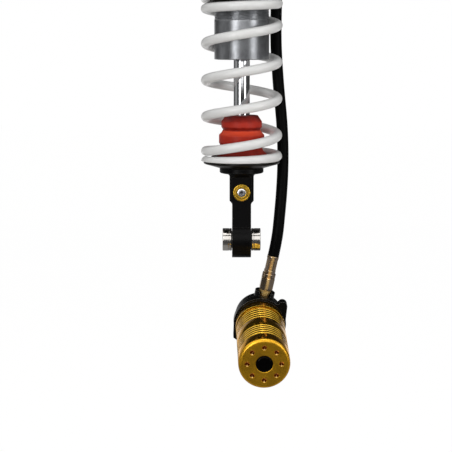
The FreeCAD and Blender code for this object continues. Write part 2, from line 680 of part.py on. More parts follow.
def make_rod_and_piston():
    """Rod with its bore, and the piston stack on the rod's shank."""
    rod = Part.makeCylinder(ROD_R, Z_ROD_SHOULDER - Z_ROD_END, V(0, 0, Z_ROD_END))
    rod = rod.fuse(Part.makeCylinder(SHANK_D / 2, Z_SHANK_TOP - Z_ROD_SHOULDER, V(0, 0, Z_ROD_SHOULDER)))
    bore_top = Z_SHANK_TOP - ROD_ORIFICE_LENGTH
    rod = rod.cut(Part.makeCylinder(ROD_BORE_D / 2, bore_top - Z_ROD_END, V(0, 0, Z_ROD_END)))
    rod = rod.cut(Part.makeCylinder(ROD_ORIFICE_D / 2, ROD_ORIFICE_LENGTH, V(0, 0, bore_top)))
    save(rod, "piston_rod")

    shank_hole = SHANK_D + 2 * SEATED_CLEARANCE
    piston_d = BORE_D - 2 * PISTON_GAP
    piston = ring(piston_d, shank_hole, Z_PISTON_BASE, Z_PISTON_TOP)
    mid = (Z_PISTON_BASE + Z_PISTON_TOP) / 2
    band_low = mid - PISTON_BAND_HEIGHT / 2
    band_high = mid + PISTON_BAND_HEIGHT / 2
    band_inner = piston_d - 2 * PISTON_BAND_DEPTH
    piston = piston.cut(ring(BORE_D, band_inner, band_low, band_high))
    port = Part.makeCylinder(PISTON_PORT_D / 2, PISTON_HEIGHT,
                             V(PISTON_PORT_CIRCLE_D / 2, 0, Z_PISTON_BASE))
    for hole in around(port, PISTON_PORTS):
        piston = piston.cut(hole)
    save(piston, "piston")
    save(ring(BORE_D - 2 * RUNNING_CLEARANCE, band_inner + 2 * SEATED_CLEARANCE, band_low, band_high),
         "piston_band")
    save(shim_stack(Z_PISTON_TOP, False), "compression_shims")
    save(shim_stack(Z_PLATE_TOP, True), "rebound_shims")
    backing = ring(BACKING_WASHER_D, shank_hole, Z_UPPER_SHIMS_TOP, Z_NUT_BASE)
    plate = ring(TOP_OUT_PLATE_D, shank_hole, Z_ROD_SHOULDER, Z_PLATE_TOP)
    save(group([backing, plate]), "piston_washers")
    nut = hexagon(PISTON_NUT_FLATS, Z_NUT_BASE, Z_NUT_TOP)
    save(nut.cut(Part.makeCylinder(shank_hole / 2, PISTON_NUT_HEIGHT, V(0, 0, Z_NUT_BASE))), "piston_nut")
    save(ring(TOP_OUT_BUMPER_D, ROD_D + 2 * SEATED_CLEARANCE, Z_BUMPER_BASE, Z_ROD_SHOULDER),
         "top_out_bumper")


def make_bump_stop():
    """Moulded bump stop with a grooved waist, standing on the lower seat."""
    top = Z_BUMP_STOP_TOP
    base = Z_SPRING_BASE
    bore = ROD_R + BUMP_STOP_BORE_GAP
    upper = BUMP_STOP_UPPER_D / 2
    groove = BUMP_STOP_GROOVE_D / 2
    middle = BUMP_STOP_MIDDLE_D / 2
    neck = BUMP_STOP_NECK_D / 2
    foot = BUMP_STOP_FOOT_D / 2
    edge = BUMP_STOP_EDGE
    upper_top = top - BUMP_STOP_CROWN
    upper_base = top - BUMP_STOP_UPPER_END
    groove_z = top - BUMP_STOP_GROOVE_AT
    middle_top = top - BUMP_STOP_MIDDLE_START
    middle_base = top - BUMP_STOP_MIDDLE_END
    neck_z = top - BUMP_STOP_NECK_AT
    foot_z = top - BUMP_STOP_FOOT_START
    stop = turned([
        (bore, base), (foot - edge / 3, base), (foot, foot_z - BUMP_STOP_FOOT_ROUND),
        ((foot - edge * 0.4, foot_z - edge * 0.4), (foot - edge * 1.25, foot_z)),
        ((neck + edge / 3, (foot_z + 7 * neck_z) / 8), (neck, neck_z)),
        ((neck + edge * 0.67, (neck_z + 2 * middle_base) / 3), (middle, middle_base + edge)),
        (middle, middle_top - edge),
        ((groove + edge * 1.45, (groove_z + middle_top) / 2), (groove, groove_z)),
        ((groove + edge * 0.4, (groove_z + upper_base) / 2), (upper, upper_base)),
        (upper, upper_top),
        ((upper - edge * 0.6, upper_top + (top - upper_top) * 0.43), (BUMP_STOP_TOP_D / 2, top)),
        (bore, top),
    ])
    save(stop, "bump_stop")


def arc_pair(start, start_dir, end, end_dir):
    """Two arcs that leave start along start_dir, meet smoothly and reach end along end_dir."""
    chord = end - start
    both = start_dir + end_dir
    bend = 2 * (1 - start_dir.dot(end_dir))
    reach = chord.dot(both)
    if bend < 1e-9:
        d = chord.dot(chord) / (2 * reach)
    else:
        d = (math.sqrt(reach ** 2 + bend * chord.dot(chord)) - reach) / bend
    meet = (start + start_dir * d + end - end_dir * d) * 0.5
    edges = []
    for a, corner, b in ((start, start + start_dir * d, meet), (meet, end - end_dir * d, end)):
        middle = (a + b) * 0.5
        rise = corner - middle
        radius = d * (a - middle).Length / rise.Length
        depth = math.sqrt(d ** 2 + radius ** 2) - radius
        through = corner - rise * (depth / rise.Length)
        edges.append(Part.Arc(a, through, b).toShape())
    return edges


def spring_rise(turn):
    """Height of the wire's centre above its start, after a number of turns.

    The pitch is the closed pitch over each end, the open pitch between, and changes evenly.
    """
    open_pitch = (SPRING_LENGTH + 2 * GRIND_OFFSET - (2 * CLOSED_TURNS + BLEND_TURNS) * CLOSED_PITCH) \
        / (SPRING_TURNS - 2 * CLOSED_TURNS - BLEND_TURNS)

    def from_end(u):
        if u <= CLOSED_TURNS:
            return CLOSED_PITCH * u
        into = min(u - CLOSED_TURNS, BLEND_TURNS)
        rise = CLOSED_PITCH * (CLOSED_TURNS + into)
        rise += (open_pitch - CLOSED_PITCH) * into ** 2 / (2 * BLEND_TURNS)
        return rise + open_pitch * (u - CLOSED_TURNS - into)

    total = SPRING_LENGTH + 2 * GRIND_OFFSET
    if turn <= SPRING_TURNS / 2:
        return from_end(turn)
    return total - from_end(SPRING_TURNS - turn)


def spring_point(turn):
    """Centre of the wire after a number of turns."""
    mean_r = (SPRING_OD - WIRE_D) / 2
    angle = math.radians(SPRING_START_DEG) + 2 * math.pi * turn
    return V(mean_r * math.cos(angle), mean_r * math.sin(angle),
             Z_SPRING_BASE - GRIND_OFFSET + spring_rise(turn))


def spring_direction(turn):
    """Unit tangent of the wire's centre line."""
    small = 1e-4
    low = max(turn - small, 0.0)
    high = min(turn + small, SPRING_TURNS)
    return (spring_point(high) - spring_point(low)).normalize()


def least_coil_gap():
    """Smallest gap between wire surfaces at least half a turn apart, measured on points."""
    per_turn = 72
    count = int(SPRING_TURNS * per_turn)
    points = [spring_point(k / per_turn) for k in range(count + 1)]
    least = 1e9
    for i, one in enumerate(points):
        for other in points[i + per_turn // 2:]:
            least = min(least, (other - one).Length - WIRE_D)
    return least


def make_spring():
    """Coil spring as one swept wire, its end faces ground flat."""
    stops = int(round(SPRING_TURNS * ARCS_PER_TURN))
    edges = []
    for k in range(stops):
        a = SPRING_TURNS * k / stops
        b = SPRING_TURNS * (k + 1) / stops
        edges += arc_pair(spring_point(a), spring_direction(a), spring_point(b), spring_direction(b))
    spine = Part.Wire(edges)
    section = Part.Wire([Part.makeCircle(WIRE_D / 2, spring_point(0), spring_direction(0))])
    wire = spine.makePipeShell([section], True, False)
    if wire.Volume < 0:
        wire.reverse()
    across = SPRING_OD + GRIND_STOCK
    corner = -across / 2
    below = Part.makeBox(across, across, GRIND_STOCK, V(corner, corner, Z_SPRING_BASE - GRIND_STOCK))
    above = Part.makeBox(across, across, GRIND_STOCK, V(corner, corner, Z_SPRING_TOP))
    spring = wire.cut(below).cut(above)
    length = spine.Length
    print("spring wire length", round(length, 1), "swept volume over section times length",
          round(wire.Volume / (math.pi * WIRE_D ** 2 / 4 * length), 4))
    print("spring least gap to itself", round(least_coil_gap(), 3))
    save(spring, "coil_spring")


def make_seats():
    """Lower seat, upper seat and the two threaded collars."""
    base = Z_FLANGE_TOP
    top = Z_SPRING_BASE
    rim = LOWER_SEAT_D / 2
    hole = ROD_R + LOOSE_CLEARANCE
    lip_top = top + SEAT_LIP_HEIGHT
    lip_inner = PILOT_R - SEAT_LIP_WIDTH
    lower = turned([(hole, base), (LOWER_SEAT_FOOT_D / 2, base), (rim, top - LOWER_SEAT_RIM),
                    (rim, top - SEAT_EDGE), (rim - SEAT_EDGE, top), (PILOT_R, top),
                    (PILOT_R, lip_top - SEAT_LIP_EDGE), (PILOT_R - SEAT_LIP_EDGE, lip_top),
                    (lip_inner, lip_top), (lip_inner, top), (hole, top)])
    save(lower, "lower_spring_seat")

    collar_r = TUBE_R + THREAD_CLEARANCE
    z = Z_SPRING_TOP
    rim = UPPER_SEAT_D / 2
    spigot_z = z - UPPER_SEAT_SPIGOT
    upper = turned([(collar_r, spigot_z), (PILOT_R - SEAT_LIP_EDGE, spigot_z),
                    (PILOT_R, spigot_z + SEAT_LIP_EDGE), (PILOT_R, z), (rim, z), (rim, z + UPPER_SEAT_RIM),
                    (PRELOAD_RING_D / 2, Z_UPPER_SEAT_TOP), (collar_r, Z_UPPER_SEAT_TOP)])
    save(upper, "upper_spring_seat")
    make_collar("preload_ring", PRELOAD_RING_D, Z_UPPER_SEAT_TOP, Z_PRELOAD_RING_TOP, 0.0)
    make_collar("lock_ring", LOCK_RING_D, Z_PRELOAD_RING_TOP, Z_LOCK_RING_TOP, 180.0 / SPANNER_SLOTS)


def make_collar(name, outer_d, low, high, first_deg):
    """Threaded collar with hook spanner slots."""
    r = outer_d / 2
    collar_r = TUBE_R + THREAD_CLEARANCE
    edge = COLLAR_EDGE
    collar = turned([(collar_r, low), (r - edge, low), (r, low + edge), (r, high - edge), (r - edge, high),
                     (collar_r, high)])
    slot = Part.makeBox(2 * SPANNER_SLOT_DEPTH, SPANNER_SLOT_WIDTH, high - low,
                        V(r - SPANNER_SLOT_DEPTH, -SPANNER_SLOT_WIDTH / 2, low))
    for cutter in around(slot, SPANNER_SLOTS, first_deg):
        collar = collar.cut(cutter)
    save(collar, name)


def make_lower_mount():
    """Lower mount: flange, milled block, arm and eye in one forging."""
    flange_r = FLANGE_D / 2
    neck_r = math.hypot(BLOCK_FACE_WIDTH / 2, BLOCK_DEPTH / 2)
    slope_z = Z_FLANGE_BASE - FLANGE_DISH
    round_r = NECK_HEIGHT - FLANGE_DISH
    bend = round_r * (1 - math.sqrt(0.5))
    core = turned([
        (0, Z_FLANGE_TOP), (flange_r, Z_FLANGE_TOP), (flange_r, Z_FLANGE_BASE + FLANGE_CHAMFER),
        (flange_r - FLANGE_CHAMFER, Z_FLANGE_BASE), (neck_r + round_r, slope_z),
        ((neck_r + bend, slope_z - bend), (neck_r, slope_z - round_r)),
        (neck_r, Z_LOWER_EYE), (0, Z_LOWER_EYE),
    ])
    wide = FLANGE_D
    half_x = BLOCK_WIDTH / 2
    half_arm = ARM_WIDTH / 2
    half_taper = half_x - BLOCK_CHAMFER
    bend_x = (half_arm + half_taper) / 2 - (half_taper - half_arm) * 0.27
    taper_mid = Z_BLOCK_BASE - BLOCK_CHAMFER
    bend_z = taper_mid - (taper_mid - Z_ARM_TOP) * 0.38
    front = [
        (-wide, Z_FLANGE_TOP), (wide, Z_FLANGE_TOP), (wide, slope_z), (half_x + round_r, slope_z),
        ((half_x + bend, slope_z - bend), (half_x, Z_BLOCK_TOP)),
        (half_x, Z_BLOCK_BASE), (half_taper, taper_mid),
        ((bend_x, bend_z), (half_arm, Z_ARM_TOP)), (half_arm, Z_LOWER_EYE),
        (-half_arm, Z_LOWER_EYE), (-half_arm, Z_ARM_TOP),
        ((-bend_x, bend_z), (-half_taper, taper_mid)),
        (-half_x, Z_BLOCK_BASE), (-half_x, Z_BLOCK_TOP),
        ((-half_x - bend, slope_z - bend), (-half_x - round_r, slope_z)), (-wide, slope_z),
    ]
    half_y = BLOCK_DEPTH / 2
    milled_top = Z_BLOCK_TOP - MILLED_TOP_DROP
    side = [
        (-wide, Z_FLANGE_TOP), (wide, Z_FLANGE_TOP), (wide, slope_z), (neck_r, slope_z),
        (half_y, milled_top), (half_y, Z_LOWER_EYE), (-half_y, Z_LOWER_EYE),
        (-half_y, milled_top), (-neck_r, slope_z), (-wide, slope_z),
    ]
    side_prism = extruded(side, -wide, 2 * wide)
    side_prism.rotate(ORIGIN, Z_AXIS, 90)
    mount = core.common(extruded(front, -wide, 2 * wide)).common(side_prism)
    mount = mount.fuse(about_x(ring(EYE_OD, 0, -EYE_HALF, EYE_HALF), Z_LOWER_EYE))
    mount = mount.cut(eye_bore(Z_LOWER_EYE))
    rod_hole = ROD_D + 2 * SEATED_CLEARANCE
    mount = mount.cut(ring(rod_hole, 0, Z_ROD_END, Z_FLANGE_TOP))
    mount = mount.cut(ring(ROD_BORE_D, 0, Z_KNOB, Z_ROD_END))
    mount = mount.cut(about_y(ring(ADJUSTER_BORE_D, 0, FACE_Y, ADJUSTER_BORE_END), Z_KNOB))
    floor = FACE_Y + KNOB_COUNTERBORE_DEPTH
    mount = mount.cut(about_y(ring(KNOB_COUNTERBORE_D, 0, FACE_Y - OVERRUN, floor), Z_KNOB))
    mount = mount.cut(detent_pocket(floor))
    save(mount, "lower_mount")


def detent_pocket(floor):
    """Blind hole under the knob for the click ball and its spring."""
    depth = DETENT_BALL_D + DETENT_SPRING_LENGTH
    pocket = about_y(ring(DETENT_BALL_D + 2 * RUNNING_CLEARANCE, 0, floor, floor + depth), Z_KNOB)
    pocket.translate(V(KNOB_TRACK_D / 2, 0, 0))
    return pocket


def make_adjuster():
    """Rebound knob, its screw and bush, the click ball, the cone and the push rod."""
    floor = FACE_Y + KNOB_COUNTERBORE_DEPTH
    back = floor - LOOSE_CLEARANCE
    front = back - KNOB_HEIGHT
    r = KNOB_D / 2
    spindle_end = floor + KNOB_BUSH_LENGTH
    bend = KNOB_ROUND * (1 - math.sqrt(0.5))
    edge = KNOB_BACK_EDGE
    knob = turned([(0, front), (r - KNOB_ROUND, front), ((r - bend, front + bend), (r, front + KNOB_ROUND)),
                   (r, back - edge), (r - edge, back), (0, back)])
    knob = knob.fuse(ring(KNOB_SPINDLE_D, 0, back, spindle_end))
    knob = knob.fuse(ring(KNOB_DRIVE_D, 0, spindle_end, spindle_end + KNOB_DRIVE_LENGTH))
    knob = knob.cut(ring(KNOB_GROOVE_D + KNOB_GROOVE_WIDTH, KNOB_GROOVE_D - KNOB_GROOVE_WIDTH,
                         front, front + KNOB_GROOVE_DEPTH))
    knob = knob.cut(ring(KNOB_TRACK_D + KNOB_TRACK_WIDTH, KNOB_TRACK_D - KNOB_TRACK_WIDTH,
                         back - KNOB_TRACK_DEPTH, back))
    head_low = front - KNOB_SCREW_PROUD
    head_high = head_low + KNOB_SCREW_HEAD_HEIGHT
    head_hole = KNOB_SCREW_HEAD_D + 2 * SEATED_CLEARANCE
    screw_end = head_high + KNOB_SCREW_LENGTH
    knob = knob.cut(ring(head_hole, 0, front, head_high))
    knob = knob.cut(ring(KNOB_SCREW_D + 2 * SEATED_CLEARANCE, 0, head_high, screw_end))
    notch = Part.makeCylinder(KNOB_NOTCH_D / 2, KNOB_NOTCH_DEPTH, V(0, -KNOB_GROOVE_D / 2, front), Z_AXIS)
    knob = knob.cut(notch)
    save(about_y(knob, Z_KNOB), "rebound_knob")

    screw = ring(KNOB_SCREW_HEAD_D, 0, head_low, head_high)
    screw = screw.fuse(ring(KNOB_SCREW_D, 0, head_high, screw_end))
    screw = screw.cut(hexagon(KNOB_SCREW_FLATS, head_low, head_low + KNOB_SCREW_SOCKET_DEPTH))
    save(about_y(screw, Z_KNOB), "knob_screw")

    bush = ring(ADJUSTER_BORE_D - 2 * SEATED_CLEARANCE, KNOB_SPINDLE_D + 2 * RUNNING_CLEARANCE,
                floor, spindle_end)
    save(about_y(bush, Z_KNOB), "knob_bush")

    ball_y = floor + RUNNING_CLEARANCE
    ball = Part.makeSphere(DETENT_BALL_D / 2, V(KNOB_TRACK_D / 2, ball_y, Z_KNOB))
    low = ball_y + DETENT_BALL_D / 2
    high = floor + DETENT_BALL_D + DETENT_SPRING_LENGTH
    coil = about_y(ring(DETENT_SPRING_OD, DETENT_SPRING_ID, low, high), Z_KNOB)
    coil.translate(V(KNOB_TRACK_D / 2, 0, 0))
    save(group([ball, coil]), "knob_detent")

    cone_start = -CONE_CENTRE_OFFSET
    shank_start = cone_start - CONE_SHANK_LENGTH
    cone = turned([(0, shank_start), (CONE_LARGE_D / 2, shank_start), (CONE_LARGE_D / 2, cone_start),
                   (CONE_SMALL_D / 2, cone_start + CONE_LENGTH), (0, cone_start + CONE_LENGTH)])
    cone = cone.cut(ring(KNOB_DRIVE_D + 2 * LOOSE_CLEARANCE, 0, shank_start, shank_start + CONE_SOCKET_DEPTH))
    save(about_y(cone, Z_KNOB), "rebound_cone")

    slope = (CONE_LARGE_D - CONE_SMALL_D) / 2 / CONE_LENGTH
    cone_r = CONE_LARGE_D / 2 - slope * (CONE_CENTRE_OFFSET - PUSH_ROD_TIP_D / 2)
    tip = Z_KNOB + cone_r + LOOSE_CLEARANCE
    shoulder = tip + PUSH_ROD_TIP_LENGTH
    needle_top = Z_SHANK_TOP - ROD_ORIFICE_LENGTH - NEEDLE_GAP + NEEDLE_LENGTH / 2
    needle_base = needle_top - NEEDLE_LENGTH
    r = PUSH_ROD_D / 2
    taper = PUSH_ROD_TAPER
    rod = turned([(0, tip), (PUSH_ROD_TIP_D / 2, tip), (PUSH_ROD_TIP_D / 2, shoulder), (r, shoulder + taper),
                  (r, needle_base - taper), (NEEDLE_D / 2, needle_base), (NEEDLE_POINT_D / 2, needle_top),
                  (0, needle_top)])
    save(rod, "rebound_push_rod")


def at_port(shape):
    """Place a piece made about Z, with z the distance from the axis, on the head's hose port."""
    moved = about_x(shape, -PORT_DROP)
    moved.rotate(ORIGIN, Z_AXIS, PORT_ANGLE_DEG)
    return moved


def hose_end_high():
    """Lower end of the upper ferrule, where the hose starts."""
    r = PORT_BOSS_REACH + BANJO_WASHER_HEIGHT + BANJO_THICKNESS / 2
    angle = math.radians(PORT_ANGLE_DEG)
    return V(r * math.cos(angle), r * math.sin(angle), -PORT_DROP - BANJO_NECK_END_DROP - FERRULE_LENGTH)


def make_upper_fitting():
    """Banjo bolt, washers, banjo and ferrule at the head."""
    hole_d = BANJO_BOLT_D + 2 * SEATED_CLEARANCE
    first = PORT_BOSS_REACH
    banjo_low = first + BANJO_WASHER_HEIGHT
    banjo_high = banjo_low + BANJO_THICKNESS
    head_low = banjo_high + BANJO_WASHER_HEIGHT
    washers = [ring(BANJO_WASHER_D, hole_d, first, banjo_low),
               ring(BANJO_WASHER_D, hole_d, banjo_high, head_low)]
    save(group([at_port(washer) for washer in washers]), "banjo_washers")
    bolt = ring(BANJO_BOLT_D, 0, first - BANJO_BOLT_REACH, head_low)
    bolt = bolt.fuse(hexagon(BANJO_BOLT_FLATS, head_low, head_low + BANJO_BOLT_HEAD_HEIGHT))
    bolt = bolt.fuse(ring(BANJO_BOLT_FLATS + BANJO_BOLT_COLLAR, 0, head_low,
                          head_low + BANJO_BOLT_COLLAR_HEIGHT))
    bolt = bolt.cut(ring(PORT_PASSAGE_D, 0, first - BANJO_BOLT_REACH, banjo_high - BANJO_LAND))
    save(at_port(bolt), "banjo_bolt")

    banjo = at_port(ring(BANJO_OD, 0, banjo_low, banjo_high))
    end = hose_end_high()
    neck_base = end.z + FERRULE_LENGTH
    neck_r = BANJO_THICKNESS / 2 - BANJO_NECK_INSET
    neck = Part.makeCylinder(neck_r, -PORT_DROP - neck_base, V(end.x, end.y, neck_base))
    banjo = banjo.fuse(neck)
    banjo = banjo.cut(at_port(ring(hole_d, 0, banjo_low, banjo_high)))
    banjo = banjo.cut(at_port(ring(BANJO_BORE_D, 0, banjo_low + BANJO_LAND, banjo_high - BANJO_LAND)))
    save(banjo, "hose_banjo")
    save(Part.makeCylinder(FERRULE_D / 2, FERRULE_LENGTH, V(end.x, end.y, end.z)), "hose_upper_ferrule")


def hose_route():
    """Points of the hose from the upper ferrule to the lower ferrule."""
    return [hose_end_high()] + [V(*point) for point in HOSE_MIDDLE] + [V(*HOSE_END_LOW)]


def rounded_route(points):
    """Straight runs joined by tangent arcs, as large as the runs allow. Gives edges and radii."""
    edges = []
    radii = []
    here = points[0]
    for k in range(1, len(points) - 1):
        before = points[k] - points[k - 1]
        after = points[k + 1] - points[k]
        leave = V(before).normalize()
        go = V(after).normalize()
        turn = math.acos(max(-1.0, min(1.0, leave.dot(go))))
        reach = TUBE_ARC_SHARE * min(before.Length, after.Length)
        radius = reach / math.tan(turn / 2)
        start = points[k] - leave * reach
        end = points[k] + go * reach
        inward = (go - leave).normalize()
        sagitta = radius * (1 / math.cos(turn / 2) - 1)
        edges.append(Part.LineSegment(here, start).toShape())
        edges.append(Part.Arc(start, points[k] + inward * sagitta, end).toShape())
        radii.append(radius)
        here = end
    edges.append(Part.LineSegment(here, points[-1]).toShape())
    return edges, radii


def make_hose():
    """Free hose between the two ferrules."""
    points = hose_route()
    edges, radii = rounded_route(points)
    spine = Part.Wire(edges)
    section = Part.Wire([Part.makeCircle(HOSE_D / 2, points[0], (points[1] - points[0]).normalize())])
    hose = spine.makePipeShell([section], True, False)
    if hose.Volume < 0:
        hose.reverse()
    runs = [(b - a).Length for a, b in zip(points, points[1:])]
    print("hose runs", [round(run, 1) for run in runs])
    print("hose bend radii", [round(radius, 1) for radius in radii])
    print("hose length", round(spine.Length, 1), "volume over section times length",
          round(hose.Volume / (math.pi * HOSE_D ** 2 / 4 * spine.Length), 4))
    save(hose, "hose")


def reservoir_turn():
    """Rotation from the reservoir's own axes, +Y along s, to the frame."""
    yaw = FreeCAD.Rotation(Z_AXIS, RESERVOIR_YAW_DEG)
    return yaw.multiply(FreeCAD.Rotation(X_AXIS, RESERVOIR_TILT_DEG))


def port_direction():
    """Direction of the hose port in the reservoir's own axes."""
    twist = math.radians(PORT_TWIST_DEG)
    return V(math.sin(twist), 0, math.cos(twist))


def reservoir_base():
    """Centre of the front face, from where the hose has to end."""
    local = V(0, S_PORT, 0) + port_direction() * R_HOSE
    return V(*HOSE_END_LOW) - reservoir_turn().multVec(local)


def placed(shape):
    """Move a piece from the reservoir's own axes to the frame."""
    moved = shape.copy()
    moved.Placement = FreeCAD.Placement(reservoir_base(), reservoir_turn()).multiply(moved.Placement)
    return moved


def along_s(shape):
    """Turn a shape made about Z so that its z becomes s, and place it."""
    return placed(about_y(shape))


def port_axis(shape):
    """Turn a shape made about Z so that its z runs out along the hose port, not yet placed."""
    moved = shape.copy()
    moved.rotate(ORIGIN, Y_AXIS, PORT_TWIST_DEG)
    moved.translate(V(0, S_PORT, 0))
    return moved


def ridged_outline(start, count, pitch):
    """Outer line of a band of ridges, each flat ridge after a round groove."""
    steps = []
    for k in range(count):
        low = start + pitch * k + (pitch - RIDGE_GROOVE_WIDTH) / 2
        high = low + RIDGE_GROOVE_WIDTH
        steps.append((RESERVOIR_R, low))
        steps.append(((RESERVOIR_R - RIDGE_DEPTH, (low + high) / 2), (RESERVOIR_R, high)))
    return steps


def make_reservoir_shell():
    """Reservoir tube with its ridges, and the front cap with its dimples."""
    deep_r = RESERVOIR_R - DEEP_GROOVE_DEPTH
    ring_r = RESERVOIR_R + REAR_RING_PROUD
    outline = [(RESERVOIR_BORE_R, S_RIDGES_A), (RESERVOIR_R, S_RIDGES_A)]
    outline += ridged_outline(S_RIDGES_A, FRONT_RIDGES, FRONT_RIDGE_PITCH)
    outline += ridged_outline(S_RIDGES_B, REAR_RIDGES, REAR_RIDGE_PITCH)
    slope = DEEP_GROOVE_SLOPE
    outline += [(RESERVOIR_R, S_DEEP), (deep_r, S_DEEP + slope), (deep_r, S_RING - slope), (ring_r, S_RING),
                (ring_r, S_PLAIN), (RESERVOIR_R, S_PLAIN + REAR_RING_SLOPE), (RESERVOIR_R, S_HEAD),
                (RESERVOIR_BORE_R, S_HEAD)]
    save(along_s(turned(outline)), "reservoir_body")

    spigot_r = RESERVOIR_BORE_R - SEATED_CLEARANCE
    spigot_end = RESERVOIR_CAP_LENGTH + RESERVOIR_SPIGOT
    rim = RESERVOIR_RIM_ROUND
    bend = rim * (1 - math.sqrt(0.5))
    cap = turned([(0, 0), (RESERVOIR_R - rim, 0), ((RESERVOIR_R - bend, bend), (RESERVOIR_R, rim)),
                  (RESERVOIR_R, RESERVOIR_CAP_LENGTH), (spigot_r, RESERVOIR_CAP_LENGTH),
                  (spigot_r, spigot_end), (0, spigot_end)])
    seal_s = RESERVOIR_CAP_LENGTH + RESERVOIR_SPIGOT / 2
    cap = cap.cut(seal_groove(seal_s))
    plug_hole = PLUG_D + 2 * SEATED_CLEARANCE
    cap = cap.cut(ring(plug_hole, 0, 0, PLUG_LENGTH))
    cap = cap.cut(ring(VALVE_D + 2 * SEATED_CLEARANCE, 0, PLUG_LENGTH, spigot_end))
    dimple = Part.makeCone(DIMPLE_D / 2, DIMPLE_TIP_D / 2, DIMPLE_DEPTH, V(DIMPLE_CIRCLE_D / 2, 0, 0))
    for cutter in around(dimple, DIMPLES):
        cap = cap.cut(cutter)
    save(along_s(cap), "reservoir_end_cap")
    head_seal_s = S_HEAD - RESERVOIR_SPIGOT / 2
    ring_r = spigot_r - O_RING_D / 2
    rings = [o_ring(ring_r, s, O_RING_D - 2 * SEATED_CLEARANCE) for s in (seal_s, head_seal_s)]
    save(group([along_s(one) for one in rings]), "reservoir_o_rings")


def seal_groove(station):
    """Cut for a static O-ring in a spigot that fits the reservoir's bore."""
    spigot_r = RESERVOIR_BORE_R - SEATED_CLEARANCE
    return ring(RESERVOIR_BORE_D + OVERRUN, 2 * (spigot_r - O_RING_D), station - O_RING_D / 2,
                station + O_RING_D / 2)


def make_gas_valve():
    """Gas valve, its core and the domed plug over it."""
    r = PLUG_D / 2
    plug = turned([(PLUG_HOLLOW_D / 2, PLUG_LENGTH), (PLUG_HOLLOW_D / 2, PLUG_ROOF), (0, PLUG_ROOF),
                   (0, -PLUG_DOME), ((r * 0.55, -PLUG_DOME * 0.72), (r, PLUG_SHOULDER)), (r, PLUG_LENGTH)])
    save(along_s(plug), "gas_valve_plug")
    core_hole = VALVE_CORE_D + 2 * SEATED_CLEARANCE
    nose_start = PLUG_LENGTH - VALVE_NOSE_LENGTH
    valve = ring(VALVE_D, 0, PLUG_LENGTH, PLUG_LENGTH + VALVE_LENGTH)
    valve = valve.fuse(ring(VALVE_NOSE_D, 0, nose_start, PLUG_LENGTH))
    valve = valve.cut(ring(core_hole, 0, nose_start, PLUG_LENGTH + VALVE_LENGTH))
    save(along_s(valve), "gas_valve_body")
    core_start = nose_start + VALVE_CORE_INSET
    core = ring(VALVE_CORE_D, 0, core_start, core_start + VALVE_CORE_LENGTH)
    save(along_s(core), "gas_valve_core")


def make_floating_piston():
    """Cup between gas and oil, with its band."""
    start = FLOATING_PISTON_START
    end = start + FLOATING_PISTON_LENGTH
    r = RESERVOIR_BORE_R - FLOATING_PISTON_GAP
    inner = r - FLOATING_PISTON_WALL
    cup = turned([(inner, start), (r, start), (r, end), (0, end), (0, end - FLOATING_PISTON_WALL),
                  (inner, end - FLOATING_PISTON_WALL)])
    mid = (start + end) / 2
    low = mid - FLOATING_BAND_WIDTH / 2
    high = mid + FLOATING_BAND_WIDTH / 2
    band_inner = 2 * (r - FLOATING_BAND_DEPTH)
    cup = cup.cut(ring(RESERVOIR_BORE_D, band_inner, low, high))
    save(along_s(cup), "floating_piston")
    band = ring(RESERVOIR_BORE_D - 2 * RUNNING_CLEARANCE, band_inner + 2 * SEATED_CLEARANCE, low, high)
    save(along_s(band), "floating_piston_band")


def make_rear_head():
    """Rear head of the reservoir, and the boss round its hose fitting, slotted open to the front."""
    spigot_r = RESERVOIR_BORE_R - SEATED_CLEARANCE
    spigot_start = S_HEAD - RESERVOIR_SPIGOT
    zone_r = CLAMP_ZONE_D / 2
    zone_end = S_HEAD + CLAMP_ZONE_LENGTH
    end = S_HEAD_END
    inner = spigot_r - REAR_HEAD_WALL
    bend = REAR_HEAD_ROUND * (1 - math.sqrt(0.5))
    head = turned([
        (inner, spigot_start), (spigot_r, spigot_start), (spigot_r, S_HEAD), (zone_r, S_HEAD),
        (zone_r, zone_end), (RESERVOIR_R, zone_end + CLAMP_ZONE_SLOPE), (RESERVOIR_R, end - REAR_HEAD_ROUND),
        ((RESERVOIR_R - bend, end - bend), (RESERVOIR_R - REAR_HEAD_ROUND, end)), (0, end),
        (0, end - REAR_HEAD_WALL), (inner, end - REAR_HEAD_WALL),
    ])
    head = head.cut(seal_groove(S_HEAD - RESERVOIR_SPIGOT / 2))
    boss = port_axis(ring(REAR_BOSS_D, 0, spigot_r - SINK, REAR_BOSS_REACH))
    head = about_y(head).fuse(boss)
    slot_r = ADAPTER_FLATS / math.sqrt(3) + REAR_SLOT_CLEARANCE
    mouth = Part.makeBox(2 * slot_r, REAR_BOSS_D, REAR_SLOT_DEPTH + OVERRUN,
                         V(-slot_r, -REAR_BOSS_D, R_PORT_SEAT))
    slot = mouth.fuse(ring(2 * slot_r, 0, R_PORT_SEAT, REAR_BOSS_REACH + OVERRUN))
    head = head.cut(port_axis(slot))
    head = head.cut(port_axis(ring(REAR_PASSAGE_D, 0, inner - OVERRUN, R_PORT_SEAT)))
    socket_d = ADAPTER_SHANK_D + 2 * SEATED_CLEARANCE
    head = head.cut(port_axis(ring(socket_d, 0, R_PORT_SEAT - ADAPTER_SHANK, R_PORT_SEAT)))
    save(placed(head), "reservoir_rear_head")


